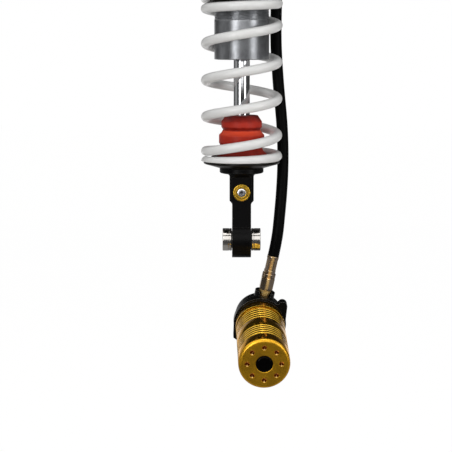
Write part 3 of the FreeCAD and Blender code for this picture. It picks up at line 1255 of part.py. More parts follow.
def make_lower_fitting():
    """Adapter, swivel nut, collar and ferrule on the reservoir's port."""
    base = R_PORT_SEAT
    corner_r = ADAPTER_FLATS / math.sqrt(3)
    taper = turned([(0, base), (ADAPTER_FOOT_D / 2, base), (corner_r, base + ADAPTER_FOOT_HEIGHT),
                    (corner_r, R_NUT), (0, R_NUT)])
    adapter = hexagon(ADAPTER_FLATS, base, R_NUT).common(taper)
    adapter = adapter.fuse(ring(ADAPTER_SHANK_D, 0, base - ADAPTER_SHANK, base))
    adapter = adapter.cut(ring(REAR_PASSAGE_D, 0, base - ADAPTER_SHANK, R_NUT))
    save(placed(port_axis(adapter)), "port_adapter")
    nut = hexagon(NUT_FLATS, R_NUT, R_COLLAR)
    flat_r = NUT_FLATS / 2
    cut = NUT_CHAMFER
    chamfer = turned([(0, R_NUT), (flat_r, R_NUT), (flat_r + cut, R_NUT + cut),
                      (flat_r + cut, R_COLLAR - cut), (flat_r, R_COLLAR), (0, R_COLLAR)])
    nut = nut.common(chamfer).fuse(ring(COLLAR_D, 0, R_COLLAR, R_FERRULE))
    save(placed(port_axis(nut)), "hose_nut")
    save(placed(port_axis(ring(FERRULE_D, 0, R_FERRULE, R_HOSE))), "hose_lower_ferrule")


def make_clamp():
    """Split clamp band on its rubber liner, with pinch bolt."""
    start = S_HEAD + CLAMP_START
    liner_r = CLAMP_ZONE_D / 2 + SEATED_CLEARANCE
    band_inner = liner_r + LINER_THICKNESS + SEATED_CLEARANCE
    band_r = band_inner + CLAMP_BAND
    ear_end = band_r + CLAMP_EAR_LENGTH
    split = Part.makeBox(CLAMP_SPLIT, CLAMP_WIDTH + 2 * OVERRUN, ear_end + OVERRUN,
                         V(-CLAMP_SPLIT / 2, start - OVERRUN, -ear_end - OVERRUN))

    disc = about_y(ring(2 * band_r, 0, start, start + CLAMP_WIDTH))
    toe_x = -CLAMP_FOOT_REACH + CLAMP_TOE_WIDTH
    foot = extruded([(-CLAMP_FOOT_REACH, -CLAMP_FOOT_DROP), (toe_x, -CLAMP_FOOT_DROP - CLAMP_TOE_DROP),
                     (-band_inner / 2, -band_inner * 0.75), (-band_inner * 0.7, 0),
                     (-band_r + SEAT_EDGE, CLAMP_FOOT_TOP)], start, CLAMP_WIDTH)
    lug = about_y(ring(CLAMP_LUG_D, 0, start, start + CLAMP_WIDTH))
    lug.translate(V(CLAMP_LUG_X, 0, CLAMP_LUG_Z))
    lug_r = CLAMP_LUG_D / 2
    web = extruded([(CLAMP_LUG_X + lug_r, CLAMP_LUG_Z), (CLAMP_LUG_X, CLAMP_LUG_Z + lug_r),
                    (band_inner * 0.6, band_inner * 0.75), (band_inner * 0.8, 0),
                    (band_r - SEAT_EDGE, CLAMP_WEB_BASE)], start, CLAMP_WIDTH)
    ear_half = CLAMP_SPLIT / 2 + CLAMP_EAR_THICKNESS
    ears = Part.makeBox(2 * ear_half, CLAMP_WIDTH, CLAMP_EAR_LENGTH + SINK, V(-ear_half, start, -ear_end))
    band = disc.fuse([foot, lug, web, ears])
    band = band.cut(about_y(ring(2 * band_inner, 0, start - OVERRUN, start + CLAMP_WIDTH + OVERRUN)))
    hole = about_y(ring(CLAMP_HOLE_D, 0, start + CLAMP_HOLE_SKIN, start + CLAMP_WIDTH + OVERRUN))
    hole.translate(V(CLAMP_LUG_X, 0, CLAMP_LUG_Z))
    band = band.cut(hole).cut(split)
    bolt_at = V(0, start + CLAMP_WIDTH / 2, -ear_end + CLAMP_EAR_LENGTH / 2)
    bolt_hole = about_x(ring(CLAMP_BOLT_D + 2 * SEATED_CLEARANCE, 0, -ear_half - OVERRUN, ear_half + OVERRUN))
    bolt_hole.translate(bolt_at)
    band = band.cut(bolt_hole)
    save(placed(band), "reservoir_clamp")

    liner = about_y(ring(2 * (liner_r + LINER_THICKNESS), 2 * liner_r, start, start + CLAMP_WIDTH))
    save(placed(liner.cut(split)), "clamp_liner")

    bolt = ring(CLAMP_BOLT_D, 0, ear_half - CLAMP_BOLT_LENGTH, ear_half)
    bolt = bolt.fuse(ring(CLAMP_BOLT_HEAD_D, 0, ear_half, ear_half + CLAMP_BOLT_HEAD_HEIGHT))
    top = ear_half + CLAMP_BOLT_HEAD_HEIGHT
    bolt = bolt.cut(hexagon(CLAMP_BOLT_SOCKET_FLATS, top - CLAMP_BOLT_SOCKET_DEPTH, top))
    bolt = about_x(bolt)
    bolt.translate(bolt_at)
    save(placed(bolt), "clamp_bolt")


def report_places():
    """Print the places that the record and the visual model repeat."""
    turn = reservoir_turn()
    base = reservoir_base()
    print("eye to eye", round(-Z_LOWER_EYE, 2))
    print("reservoir face centre", [round(c, 3) for c in base])
    print("reservoir axis", [round(c, 6) for c in turn.multVec(Y_AXIS)])
    hole_s = S_HEAD + CLAMP_START + (CLAMP_HOLE_SKIN + CLAMP_WIDTH) / 2
    lug = turn.multVec(V(CLAMP_LUG_X, hole_s, CLAMP_LUG_Z)) + base
    print("clamp lug hole centre", [round(c, 3) for c in lug])
    high = hose_end_high()
    print("hose start", [round(c, 3) for c in high])
    direction = turn.multVec(port_direction())
    print("hose port direction", [round(c, 6) for c in direction])
    print("spring base and top", round(Z_SPRING_BASE, 3), round(Z_SPRING_TOP, 3))
    print("knob height", round(Z_KNOB, 3), "tube end", round(Z_TUBE_END, 3))


def main():
    os.makedirs("parts", exist_ok=True)
    make_head()
    make_tube()
    make_seal_head()
    make_rod_and_piston()
    make_bump_stop()
    make_spring()
    make_seats()
    make_lower_mount()
    make_adjuster()
    eye_bearing("upper", 0.0)
    eye_bearing("lower", Z_LOWER_EYE)
    make_upper_fitting()
    make_hose()
    make_reservoir_shell()
    make_gas_valve()
    make_floating_piston()
    make_rear_head()
    make_lower_fitting()
    make_clamp()
    report_places()


main()
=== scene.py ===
"""Looks of a coil-over motorcycle shock absorber with a remote gas reservoir on a hose.

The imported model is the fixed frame. Sizes in this file are millimetres in that frame: the origin
is the centre of the upper eye, +Z points up along the damper, +X is the axis of both eye bolts
and the adjuster knob faces -Y. Meshes are written in metres.
"""

import json
import logging
import math
from collections.abc import Callable, Sequence
from dataclasses import dataclass, field, replace
from enum import Enum

import bpy
import numpy as np
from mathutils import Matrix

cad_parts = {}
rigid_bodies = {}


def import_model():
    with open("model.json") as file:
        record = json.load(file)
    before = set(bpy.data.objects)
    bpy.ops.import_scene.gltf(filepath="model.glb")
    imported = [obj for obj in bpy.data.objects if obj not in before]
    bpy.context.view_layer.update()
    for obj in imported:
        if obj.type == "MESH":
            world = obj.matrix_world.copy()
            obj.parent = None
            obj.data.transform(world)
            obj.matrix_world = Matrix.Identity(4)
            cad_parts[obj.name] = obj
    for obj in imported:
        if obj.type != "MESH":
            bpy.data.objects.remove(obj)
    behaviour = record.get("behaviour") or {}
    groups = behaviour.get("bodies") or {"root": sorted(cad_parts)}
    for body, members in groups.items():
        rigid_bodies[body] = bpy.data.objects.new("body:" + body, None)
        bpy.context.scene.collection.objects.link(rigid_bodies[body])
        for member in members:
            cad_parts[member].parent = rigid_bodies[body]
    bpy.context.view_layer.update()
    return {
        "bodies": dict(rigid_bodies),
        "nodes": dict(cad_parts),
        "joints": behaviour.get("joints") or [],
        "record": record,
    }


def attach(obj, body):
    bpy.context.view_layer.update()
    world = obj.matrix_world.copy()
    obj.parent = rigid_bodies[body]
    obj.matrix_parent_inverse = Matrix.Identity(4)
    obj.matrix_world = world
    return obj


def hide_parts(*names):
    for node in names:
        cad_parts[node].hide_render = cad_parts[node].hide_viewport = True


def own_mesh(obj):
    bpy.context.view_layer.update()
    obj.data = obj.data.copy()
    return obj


LOG = logging.getLogger("shock_absorber")
MM = 0.001
Array = np.ndarray
Colour = tuple[float, float, float]
Corner = tuple[float, ...]
Piece = bpy.types.Object

# Heights that several pieces share
SPRING_BASE = -255.8
SPRING_TOP = -96.8
LOWER_EYE = -335.0

# How near the axis a point is taken as on it, and how much of a run a rounding may take
ON_AXIS = 1e-9
ROUND_SHARE = 0.49
SHARP_DEG = 35.0

# How fast the finer octaves of a noise fade
NOISE_ROUGHNESS = 0.55
LINE_ROUGHNESS = 0.6

# Numbers of the Mix node's colour sockets
MIX_LOW, MIX_HIGH, MIX_RESULT = 6, 7, 2

# Samples of a rounded edge, and how far the rounded normal leans where an edge counts as worn
EDGE_SAMPLES = 6
EDGE_LEAN = (0.01, 0.16)


class Body(Enum):
    """Rigid bodies that a piece can ride on."""

    DAMPER = "damper_body"
    SHAFT = "damper_shaft"
    KNOB = "adjuster_knob"
    SEAT = "spring_seat"
    COLLARS = "preload_collars"
    UPPER_BALL = "upper_ball"
    LOWER_BALL = "lower_ball"


class Slot(Enum):
    """Material slots of the record."""

    BLACK = "black_anodised"
    GOLD = "gold_anodised"
    SPRING_COAT = "white_spring_coat"
    CHROME = "hard_chrome"
    ALUMINIUM = "bare_aluminium"
    ELASTOMER = "red_elastomer"
    HOSE = "hose_rubber"
    SEAL = "seal_rubber"
    PLATED = "plated_steel"
    STEEL = "polished_steel"
    DARK_STEEL = "dark_steel"
    BRASS = "brass"
    BRONZE = "bearing_bronze"
    GLIDE = "glide_plastic"
    PLASTIC = "black_plastic"


class Grain(Enum):
    """What the fine tool marks of a metal follow."""

    RUN = "along the turned outline"
    Z = "along z"
    NONE = "in no direction"


# Places and surfaces


@dataclass(frozen=True)
class Place:
    """A piece's own axes in the frame: an origin and the directions of its x, y and z as rows."""

    origin: Array
    axes: Array

    def carry(self, points: Array) -> Array:
        """Move points from the piece's own axes to the frame."""
        return self.origin + points @ self.axes

    def within(self, outer: "Place") -> "Place":
        """Express this place, given in the axes of another one, in the frame."""
        return Place(outer.carry(self.origin), self.axes @ outer.axes)


def numbers(values: Array) -> Corner:
    """A point or a direction as plain numbers."""
    return tuple(float(value) for value in values)


def upright(x: float = 0.0, y: float = 0.0, z: float = 0.0) -> Place:
    """A place with its z up."""
    return Place(np.array([x, y, z]), np.eye(3))


def facing_x(z: float = 0.0) -> Place:
    """A place with its z along +X, at a height."""
    return Place(np.array([0.0, 0.0, z]), np.array([[0.0, 0, -1], [0, 1, 0], [1, 0, 0]]))


def facing_y(z: float = 0.0) -> Place:
    """A place with its z along +Y, at a height."""
    return Place(np.array([0.0, 0.0, z]), np.array([[1.0, 0, 0], [0, 0, -1], [0, 1, 0]]))


def turn_about(axis: int, degrees: float) -> Array:
    """Rotation about x, y or z, as the rows that the unit axes turn into.

    Args:
        axis: 0, 1 or 2 for x, y or z.
        degrees: angle by the right-hand rule.

    Returns:
        A 3 by 3 array for use in a Place.
    """
    a, b = (axis + 1) % 3, (axis + 2) % 3
    rows = np.eye(3)
    cos, sin = math.cos(math.radians(degrees)), math.sin(math.radians(degrees))
    rows[a, a], rows[a, b], rows[b, a], rows[b, b] = cos, sin, -sin, cos
    return rows


@dataclass
class Shell:
    """A closed surface.

    It holds points, faces by their number of corners, and for each point how far along its
    outline it lies.
    """

    points: Array
    faces: list[Array]
    run: Array

    def moved(self, place: Place) -> "Shell":
        """The same surface carried to a place."""
        return Shell(place.carry(self.points), self.faces, self.run)

    def outward(self) -> "Shell":
        """The same surface with its faces turned outwards.

        The volume under the faces is the sum of the signed pyramids from the centre to each
        triangle of each face's fan; where it is negative, every face is read backwards.

        Returns:
            This surface, or one with its faces read backwards.
        """
        spot = self.points - self.points.mean(axis=0)
        volume = 0.0
        for faces in self.faces:
            for k in range(1, faces.shape[1] - 1):
                a, b, c = spot[faces[:, 0]], spot[faces[:, k]], spot[faces[:, k + 1]]
                volume += float(np.einsum("ij,ij->", a, np.cross(b, c)))
        if volume < 0:
            return Shell(self.points, [faces[:, ::-1] for faces in self.faces], self.run)
        return self


def soften(corners: Sequence[Corner], closed: bool = True, steps: int = 4) -> Array:
    """Outline of (radius, height) points whose corners are rounded.

    A corner may carry a third number, its radius. It becomes an arc that touches both of its
    runs: the centre lies on the bisector, and the points between the two touching points are
    spaced evenly in angle. A radius too large for its runs takes just under half of them.

    Args:
        corners: (radius, height) or (radius, height, rounding) tuples in order.
        closed: whether the last corner joins the first one.
        steps: spans in each arc.

    Returns:
        The outline as an array of two columns.
    """
    spots = np.array([corner[:2] for corner in corners], float)
    count = len(spots)
    parts = []
    for k, corner in enumerate(corners):
        at_end = not closed and k in (0, count - 1)
        if len(corner) < 3 or corner[2] <= 0 or at_end:
            parts.append(spots[k][None, :])
            continue
        back, ahead = spots[k - 1] - spots[k], spots[(k + 1) % count] - spots[k]
        back_run, ahead_run = np.linalg.norm(back), np.linalg.norm(ahead)
        back, ahead = back / back_run, ahead / ahead_run
        half = math.acos(float(np.clip(back @ ahead, -1, 1))) / 2
        reach = min(corner[2] / math.tan(half), ROUND_SHARE * back_run, ROUND_SHARE * ahead_run)
        bisector = (back + ahead) / np.linalg.norm(back + ahead)
        centre = spots[k] + bisector * reach / math.cos(half)
        sweep = math.pi - 2 * half
        t = np.linspace(0, 1, steps + 1)[:, None]
        first, last = spots[k] + back * reach - centre, spots[k] + ahead * reach - centre
        arc = np.sin((1 - t) * sweep) * first + np.sin(t * sweep) * last
        parts.append(centre + arc / math.sin(sweep))
    return np.concatenate(parts)


def grid_faces(rows: int, columns: int, close_rows: bool, close_columns: bool) -> Array:
    """Quads of a grid of points numbered row by row.

    Args:
        rows: number of rows.
        columns: number of columns.
        close_rows: whether the last row joins the first.
        close_columns: whether the last column joins the first.

    Returns:
        An array of four point numbers for each face.
    """
    i = np.arange(rows if close_rows else rows - 1)[:, None]
    j = np.arange(columns if close_columns else columns - 1)[None, :]
    i_next, j_next = (i + 1) % rows, (j + 1) % columns
    quads = [i * columns + j, i * columns + j_next, i_next * columns + j_next, i_next * columns + j]
    return np.stack(quads, axis=-1).reshape(-1, 4)


def fan_faces(first: int, columns: int, pole: int, backwards: bool) -> Array:
    """Triangles from one pole point to a closed row of points.

    Args:
        first: number of the row's first point.
        columns: points in the row.
        pole: the pole's number.
        backwards: whether the triangles turn the other way.

    Returns:
        An array of three point numbers for each face.
    """
    j = np.arange(columns)
    fan = np.stack([first + j, first + (j + 1) % columns, np.full(columns, pole)], axis=-1)
    return fan[:, ::-1] if backwards else fan


def run_along(outline: Array) -> Array:
    """Distance along an outline up to each of its points."""
    return np.concatenate([[0.0], np.cumsum(np.linalg.norm(np.diff(outline, axis=0), axis=1))])


def poled(rings: Array, poles: Array, run: Array) -> Shell:
    """Surface of a row of rings that closes in a pole point at each end.

    Args:
        rings: points by ring and by column.
        poles: the first and the last point.
        run: how far along its outline each pole and ring lies, in order.

    Returns:
        The closed surface, its faces not yet turned outwards.
    """
    columns = rings.shape[1]
    count = len(rings) * columns
    faces = [grid_faces(len(rings), columns, False, True),
             np.concatenate([fan_faces(0, columns, count, True),
                             fan_faces(count - columns, columns, count + 1, False)])]
    runs = np.concatenate([np.repeat(run[1:-1], columns), run[[0, -1]]])
    return Shell(np.concatenate([rings.reshape(-1, 3), poles]), faces, runs)


def lathe(outline: Array, steps: int = 96,
          shape: Callable[[Array, Array], Array] | None = None) -> Shell:
    """Surface of an outline turned about z.

    A point is (r cos a, r sin a, h): a goes once round in even steps, and r and h run along the
    outline. Where shape is given, it returns the radius for each row and column, so that a
    thread, a flat or a crimp is a change of radius over the same grid. An outline that starts
    and ends on the axis gets a pole point at each end, and any other closes on itself.

    Args:
        outline: (radius, height) rows.
        steps: columns round the axis.
        shape: function of the radii and the angles, both as arrays, giving the radii.

    Returns:
        The closed surface.
    """
    angle = np.arange(steps) * (2 * np.pi / steps)
    radius = np.repeat(outline[:, :1], steps, axis=1)
    if shape is not None:
        radius = shape(radius, angle[None, :])
    height = np.repeat(outline[:, 1:2], steps, axis=1)
    grid = np.stack([radius * np.cos(angle), radius * np.sin(angle), height], axis=-1)
    run = run_along(outline)
    if outline[0, 0] < ON_AXIS and outline[-1, 0] < ON_AXIS:
        return poled(grid[1:-1], grid[[0, -1], 0], run).outward()
    faces = [grid_faces(len(outline), steps, True, True)]
    return Shell(grid.reshape(-1, 3), faces, np.repeat(run, steps)).outward()


def flats(count: int, rows: Array, chamfer: Array | None = None) -> Callable[[Array, Array], Array]:
    """Shape for lathe that turns some rows into a polygon with that many sides.

    On those rows the radius is the distance to a flat, and the point at angle a lies at that
    distance over cos of the angle from the middle of its flat, but no further out than chamfer.

    Args:
        count: number of flats.
        rows: one True or False for each row of the outline.
        chamfer: largest radius of each row.

    Returns:
        The function that lathe calls.
    """
    def shape(radius: Array, angle: Array) -> Array:
        """Radius of the polygon on its rows, and the outline's own elsewhere.

        Args:
            radius: radii by row and column.
            angle: angle of each column.

        Returns:
            The new radii.
        """
        span = 2 * np.pi / count
        off = (angle + span / 2) % span - span / 2
        wide = radius / np.cos(off)
        if chamfer is not None:
            wide = np.minimum(wide, chamfer[:, None])
        return np.where(rows[:, None], wide, radius)

    return shape


def make_object(name: str, shells: Sequence[Shell], sharp_deg: float = SHARP_DEG) -> Piece:
    """Write surfaces into one mesh object at the origin, in metres.

    Args:
        name: the object's name.
        shells: surfaces in millimetres, in the frame.
        sharp_deg: edges that turn by more than this stay sharp.

    Returns:
        The object, linked to the scene.
    """
    corners: list[Array] = []
    sizes: list[Array] = []
    first = 0
    for shell in shells:
        for faces in shell.faces:
            corners.append((faces + first).ravel())
            sizes.append(np.full(len(faces), faces.shape[1]))
        first += len(shell.points)
    loops, totals = np.concatenate(corners), np.concatenate(sizes)
    mesh = bpy.data.meshes.new(name)
    mesh.vertices.add(first)
    mesh.vertices.foreach_set("co", (np.concatenate([s.points for s in shells]) * MM).ravel())
    mesh.loops.add(len(loops))
    mesh.loops.foreach_set("vertex_index", loops.astype(np.int32))
    mesh.polygons.add(len(totals))
    mesh.polygons.foreach_set("loop_start", (np.cumsum(totals) - totals).astype(np.int32))
    mesh.update(calc_edges=True)
    run = mesh.attributes.new("run", "FLOAT", "POINT")
    run.data.foreach_set("value", np.concatenate([s.run for s in shells]))
    keep_sharp(mesh, sharp_deg)
    obj = bpy.data.objects.new(name, mesh)
    bpy.context.scene.collection.objects.link(obj)
    return obj


def keep_sharp(mesh: bpy.types.Mesh, sharp_deg: float) -> None:
    """Shade a mesh smooth except over the edges that turn by more than an angle."""
    mesh.polygons.foreach_set("use_smooth", np.ones(len(mesh.polygons), bool))
    mesh.set_sharp_from_angle(angle=math.radians(sharp_deg))


def cut_away(obj: Piece, cutters: Sequence[Shell], sharp_deg: float = SHARP_DEG) -> None:
    """Take solids away from a piece and keep the result as its mesh.

    Args:
        obj: the piece.
        cutters: closed surfaces of what is taken away.
        sharp_deg: edges that turn by more than this stay sharp.
    """
    tool = make_object(obj.name + "_cutter", cutters)
    step = obj.modifiers.new("cut", "BOOLEAN")
    step.operation = "DIFFERENCE"
    step.solver = "EXACT"
    step.object = tool
    bpy.context.view_layer.update()
    shaped = obj.evaluated_get(bpy.context.evaluated_depsgraph_get())
    mesh = bpy.data.meshes.new_from_object(shaped)
    obj.modifiers.remove(step)
    before, obj.data = obj.data, mesh
    mesh.name = before.name
    bpy.data.meshes.remove(before)
    bpy.data.meshes.remove(tool.data)
    keep_sharp(mesh, sharp_deg)


# Shader maths


class Signal:
    """One output of a node, on which operators add Math nodes."""

    def __init__(self, bench: "Bench", socket: bpy.types.NodeSocket) -> None:
        """Keep the socket and the bench that it belongs to."""
        self.bench = bench
        self.socket = socket

    def math(self, operation: str, *others: "Signal | float") -> "Signal":
        """Add a Math node with this signal as its first value."""
        values = dict(enumerate((self, *others)))
        return self.bench.add("ShaderNodeMath", {"operation": operation}, values)

    def _after(self, operation: str, other: "Signal | float") -> "Signal":
        """Add a Math node with this signal as its second value."""
        return self.bench.add("ShaderNodeMath", {"operation": operation}, {0: other, 1: self})

    def __add__(self, other: "Signal | float") -> "Signal":
        """Sum."""
        return self.math("ADD", other)

    def __radd__(self, other: float) -> "Signal":
        """Sum with a number on the left."""
        return self._after("ADD", other)

    def __sub__(self, other: "Signal | float") -> "Signal":
        """Difference."""
        return self.math("SUBTRACT", other)

    def __rsub__(self, other: float) -> "Signal":
        """Difference with a number on the left."""
        return self._after("SUBTRACT", other)

    def __mul__(self, other: "Signal | float") -> "Signal":
        """Product."""
        return self.math("MULTIPLY", other)

    def __rmul__(self, other: float) -> "Signal":
        """Product with a number on the left."""
        return self._after("MULTIPLY", other)

    def __truediv__(self, other: "Signal | float") -> "Signal":
        """Quotient."""
        return self.math("DIVIDE", other)

    def __rtruediv__(self, other: float) -> "Signal":
        """Quotient with a number on the left."""
        return self._after("DIVIDE", other)

    def most(self, other: "Signal | float") -> "Signal":
        """The larger of two."""
        return self.math("MAXIMUM", other)

    def least(self, other: "Signal | float") -> "Signal":
        """The smaller of two."""
        return self.math("MINIMUM", other)

    def rise(self, low: float, high: float) -> "Signal":
        """Smooth step from 0 at low to 1 at high."""
        return self.bench.add("ShaderNodeMapRange", {"interpolation_type": "SMOOTHSTEP"},
                              {"Value": self, "From Min": low, "From Max": high})


class Bench:
    """The node tree of one material or of the world."""

    def __init__(self, owner: bpy.types.Material | bpy.types.World) -> None:
        """Start with an empty tree.

        Args:
            owner: the material or the world.
        """
        owner.use_nodes = True
        self.owner = owner
        self.tree = owner.node_tree
        self.tree.nodes.clear()
        self.shader: bpy.types.Node | None = None

    @classmethod
    def surface(cls, name: str) -> "Bench":
        """Start a material with a surface shader joined to its output.

        Args:
            name: the material's name.

        Returns:
            Its bench, with the surface shader kept in it.
        """
        bench = cls(bpy.data.materials.new(name))
        plain = bench.add("ShaderNodeBsdfPrincipled")
        bench.shader = plain.socket.node
        bench.add("ShaderNodeOutputMaterial", sockets={"Surface": plain})
        return bench

    def put(self, target: bpy.types.NodeSocket, value: object) -> None:
        """Link a signal to a socket, or set the socket's own value.

        Args:
            target: the socket.
            value: a signal, a number, a colour or a vector.
        """
        if isinstance(value, Signal):
            self.tree.links.new(value.socket, target)
        elif isinstance(value, tuple) and len(value) == 3 and target.type == "RGBA":
            target.default_value = (*value, 1.0)
        else:
            target.default_value = value

    def add(self, kind: str, settings: dict | None = None, sockets: dict | None = None,
            out: int | str = 0) -> Signal | None:
        """Add a node of any kind.

        Args:
            kind: the node's type.
            settings: its own settings, set first; stops is a ramp's list of (place, colour).
            sockets: values or signals for its inputs, by name or number.
            out: the output to return.

        Returns:
            That output as a signal, or None for a node that has no outputs.
        """
        node = self.tree.nodes.new(kind)
        for key, value in (settings or {}).items():
            if key == "stops":
                elements = node.color_ramp.elements
                elements[0].position, elements[1].position = value[0][0], value[-1][0]
                for spot, _ in value[1:-1]:
                    elements.new(spot)
                for element, (_, colour) in zip(elements, value):
                    element.color = (*colour, 1.0)
            else:
                setattr(node, key, value)
        for key, value in (sockets or {}).items():
            self.put(node.inputs[key], value)
        return Signal(self, node.outputs[out]) if node.outputs else None

    def feed(self, name: str, value: object) -> None:
        """Link a signal to an input of the surface shader, or set the input's own value."""
        self.put(self.shader.inputs[name], value)

    def wired(self, name: str) -> Signal:
        """What already feeds an input of the surface shader."""
        return Signal(self, self.shader.inputs[name].links[0].from_socket)

    def across(self, origin: Corner, direction: Corner) -> Signal:
        """Distance of a point from a plane, in metres: v.n, with v the point less the origin.

        Args:
            origin: a point of the plane, in millimetres.
            direction: the plane's unit normal n.

        Returns:
            The signed distance.
        """
        offset = self.add("ShaderNodeVectorMath", {"operation": "SUBTRACT"},
                          {0: self.spot(), 1: tuple(c * MM for c in origin)})
        return self.add("ShaderNodeVectorMath", {"operation": "DOT_PRODUCT"},
                        {0: offset, 1: direction}, "Value")

    def mix(self, factor: "Signal | float", low: "Signal | Colour", high: "Signal | Colour") -> Signal:
        """Blend two colours."""
        return self.add("ShaderNodeMix", {"data_type": "RGBA"},
                        {0: factor, MIX_LOW: low, MIX_HIGH: high}, MIX_RESULT)

    def spot(self, scale: Colour | None = None) -> Signal:
        """Object coordinates in metres, each multiplied by a number where scale is given.

        Args:
            scale: three factors.

        Returns:
            The coordinates as a vector.
        """
        own = self.add("ShaderNodeTexCoord", out="Object")
        if scale is None:
            return own
        return self.add("ShaderNodeVectorMath", {"operation": "MULTIPLY"}, {0: own, 1: scale})

    def noise(self, size_mm: float, detail: float = 2.0, spot: Signal | None = None) -> Signal:
        """Noise between 0 and 1 whose lumps are about size_mm across.

        Args:
            size_mm: size of the lumps.
            detail: number of finer octaves.
            spot: where it is read, instead of the plain coordinates.

        Returns:
            The noise.
        """
        return self.add("ShaderNodeTexNoise", {"noise_dimensions": "3D"},
                        {"Vector": spot or self.spot(), "Scale": 1.0 / (size_mm * MM),
                         "Detail": detail, "Roughness": NOISE_ROUGHNESS}, "Fac")

    def lines(self, grain: Grain, pitch_mm: float, detail: float = 3.0) -> Signal:
        """Noise along one direction only, for tool marks about pitch_mm apart.

        Args:
            grain: what the marks follow.
            pitch_mm: distance between marks.
            detail: number of finer octaves.

        Returns:
            The noise.
        """
        if grain is Grain.RUN:
            along = self.add("ShaderNodeAttribute", {"attribute_name": "run"}, out="Fac") / pitch_mm
        else:
            parts = self.add("ShaderNodeSeparateXYZ", sockets={0: self.spot()}, out=grain.name)
            along = parts / (pitch_mm * MM)
        return self.add("ShaderNodeTexNoise", {"noise_dimensions": "1D"},
                        {"W": along, "Scale": 1.0, "Detail": detail, "Roughness": LINE_ROUGHNESS},
                        "Fac")

    def bump(self, height: Signal, depth_mm: float, normal: Signal | None = None) -> Signal:
        """Normal of a surface raised by height times depth_mm.

        Args:
            height: height of the surface.
            depth_mm: what a height of 1 stands for.
            normal: the normal to start from, if not the surface.

        Returns:
            The new normal.
        """
        sockets = {"Height": height, "Distance": depth_mm * MM, "Strength": 1.0}
        if normal is not None:
            sockets["Normal"] = normal
        return self.add("ShaderNodeBump", sockets=sockets)

    def soft_edges(self, radius_mm: float) -> Signal:
        """Normal of a surface whose edges are rounded by a radius."""
        return self.add("ShaderNodeBevel", {"samples": EDGE_SAMPLES}, {"Radius": radius_mm * MM})

    def edge_mask(self, radius_mm: float) -> Signal:
        """1 along the edges of a solid and 0 on its faces.

        Args:
            radius_mm: how far from an edge it reaches.

        Returns:
            The mask.
        """
        own = self.add("ShaderNodeNewGeometry", out="Normal")
        same = self.add("ShaderNodeVectorMath", {"operation": "DOT_PRODUCT"},
                        {0: self.soft_edges(radius_mm), 1: own}, "Value")
        return (1 - same).rise(*EDGE_LEAN)


# Finishes


@dataclass(frozen=True)
class Finish:
    """What each finish has, and the plain one."""

    name: str
    colour: Colour
    roughness: float = 0.4
    metallic: float = 0.0
    specular: float = 0.5
    coat: float = 0.0
    coat_roughness: float = 0.1
    grazing: Colour = (1.0, 1.0, 1.0)
    cloud_mm: float = 2.5

    def paint(self) -> bpy.types.Material:
        """Make the material of this finish.

        Returns:
            The material.
        """
        bench = Bench.surface(self.name)
        plain = {"Base Color": self.colour, "Roughness": self.roughness, "Metallic": self.metallic,
                 "Specular IOR Level": self.specular, "Specular Tint": self.grazing,
                 "Coat Weight": self.coat, "Coat Roughness": self.coat_roughness}
        for socket, value in plain.items():
            bench.feed(socket, value)
        self.dress(bench)
        bench.owner.diffuse_color = (*self.colour, 1.0)
        bench.owner.metallic = self.metallic
        bench.owner.roughness = self.roughness
        return bench.owner

    def dress(self, bench: Bench) -> None:
        """Add what changes over the surface."""
        mottle = bench.noise(self.cloud_mm)
        bench.feed("Roughness", self.roughness * (0.85 + mottle * 0.3))


@dataclass(frozen=True)
class PowderCoat(Finish):
    """Thick sprayed coat with a fine orange peel."""

    shade: Colour = (0.6, 0.6, 0.6)
    cloud_mm: float = 14.0
    speck_mm: float = 0.35
    peel_mm: float = 1.0
    peel_depth: float = 0.03

    def dress(self, bench: Bench) -> None:
        """Peel in the normal, faint clouds in colour and gloss, and fine specks in the colour.

        Args:
            bench: the material's node tree.
        """
        clouds = bench.noise(self.cloud_mm, 3.0)
        specks = bench.noise(self.speck_mm, 1.0).rise(0.62, 0.75)
        peel = bench.bump(bench.noise(self.peel_mm), self.peel_depth)
        bench.feed("Base Color", bench.mix(clouds * 0.16 + specks * 0.1, self.colour, self.shade))
        bench.feed("Roughness", self.roughness + clouds * 0.1)
        bench.feed("Normal", peel)


@dataclass(frozen=True)
class Anodised(Finish):
    """Anodised aluminium: dyed, satin, with tool marks and paler edges."""

    worn: Colour = (0.3, 0.3, 0.3)
    deep_share: float = 0.72
    cloud_mm: float = 9.0
    fine_mm: float = 0.25
    patch_mm: float = 1.6
    grain: Grain = Grain.NONE
    pitch_mm: float = 0.35
    depth_mm: float = 0.004
    edge_mm: float = 0.25
    edge_wear: float = 0.3

    def dress(self, bench: Bench) -> None:
        """Tool marks in the normal and the gloss, clouds in the dye, and worn edges.

        Args:
            bench: the material's node tree.
        """
        clouds = bench.noise(self.cloud_mm, 3.0)
        fine = bench.noise(self.fine_mm)
        marks = fine if self.grain is Grain.NONE else bench.lines(self.grain, self.pitch_mm)
        edges = bench.edge_mask(self.edge_mm) * (0.4 + bench.noise(self.patch_mm) * 0.9)
        worn = (edges * self.edge_wear).least(1.0)
        deep = numbers(np.array(self.colour) * self.deep_share)
        undertone = bench.mix(clouds.rise(0.3, 0.7), self.colour, deep)
        bench.feed("Base Color", bench.mix(worn, undertone, self.worn))
        bench.feed("Roughness", (self.roughness * (0.8 + marks * 0.25 + clouds * 0.2)).most(0.05))
        bench.feed("Normal",
                   bench.bump(marks * 0.7 + fine * 0.3, self.depth_mm, bench.soft_edges(self.edge_mm)))


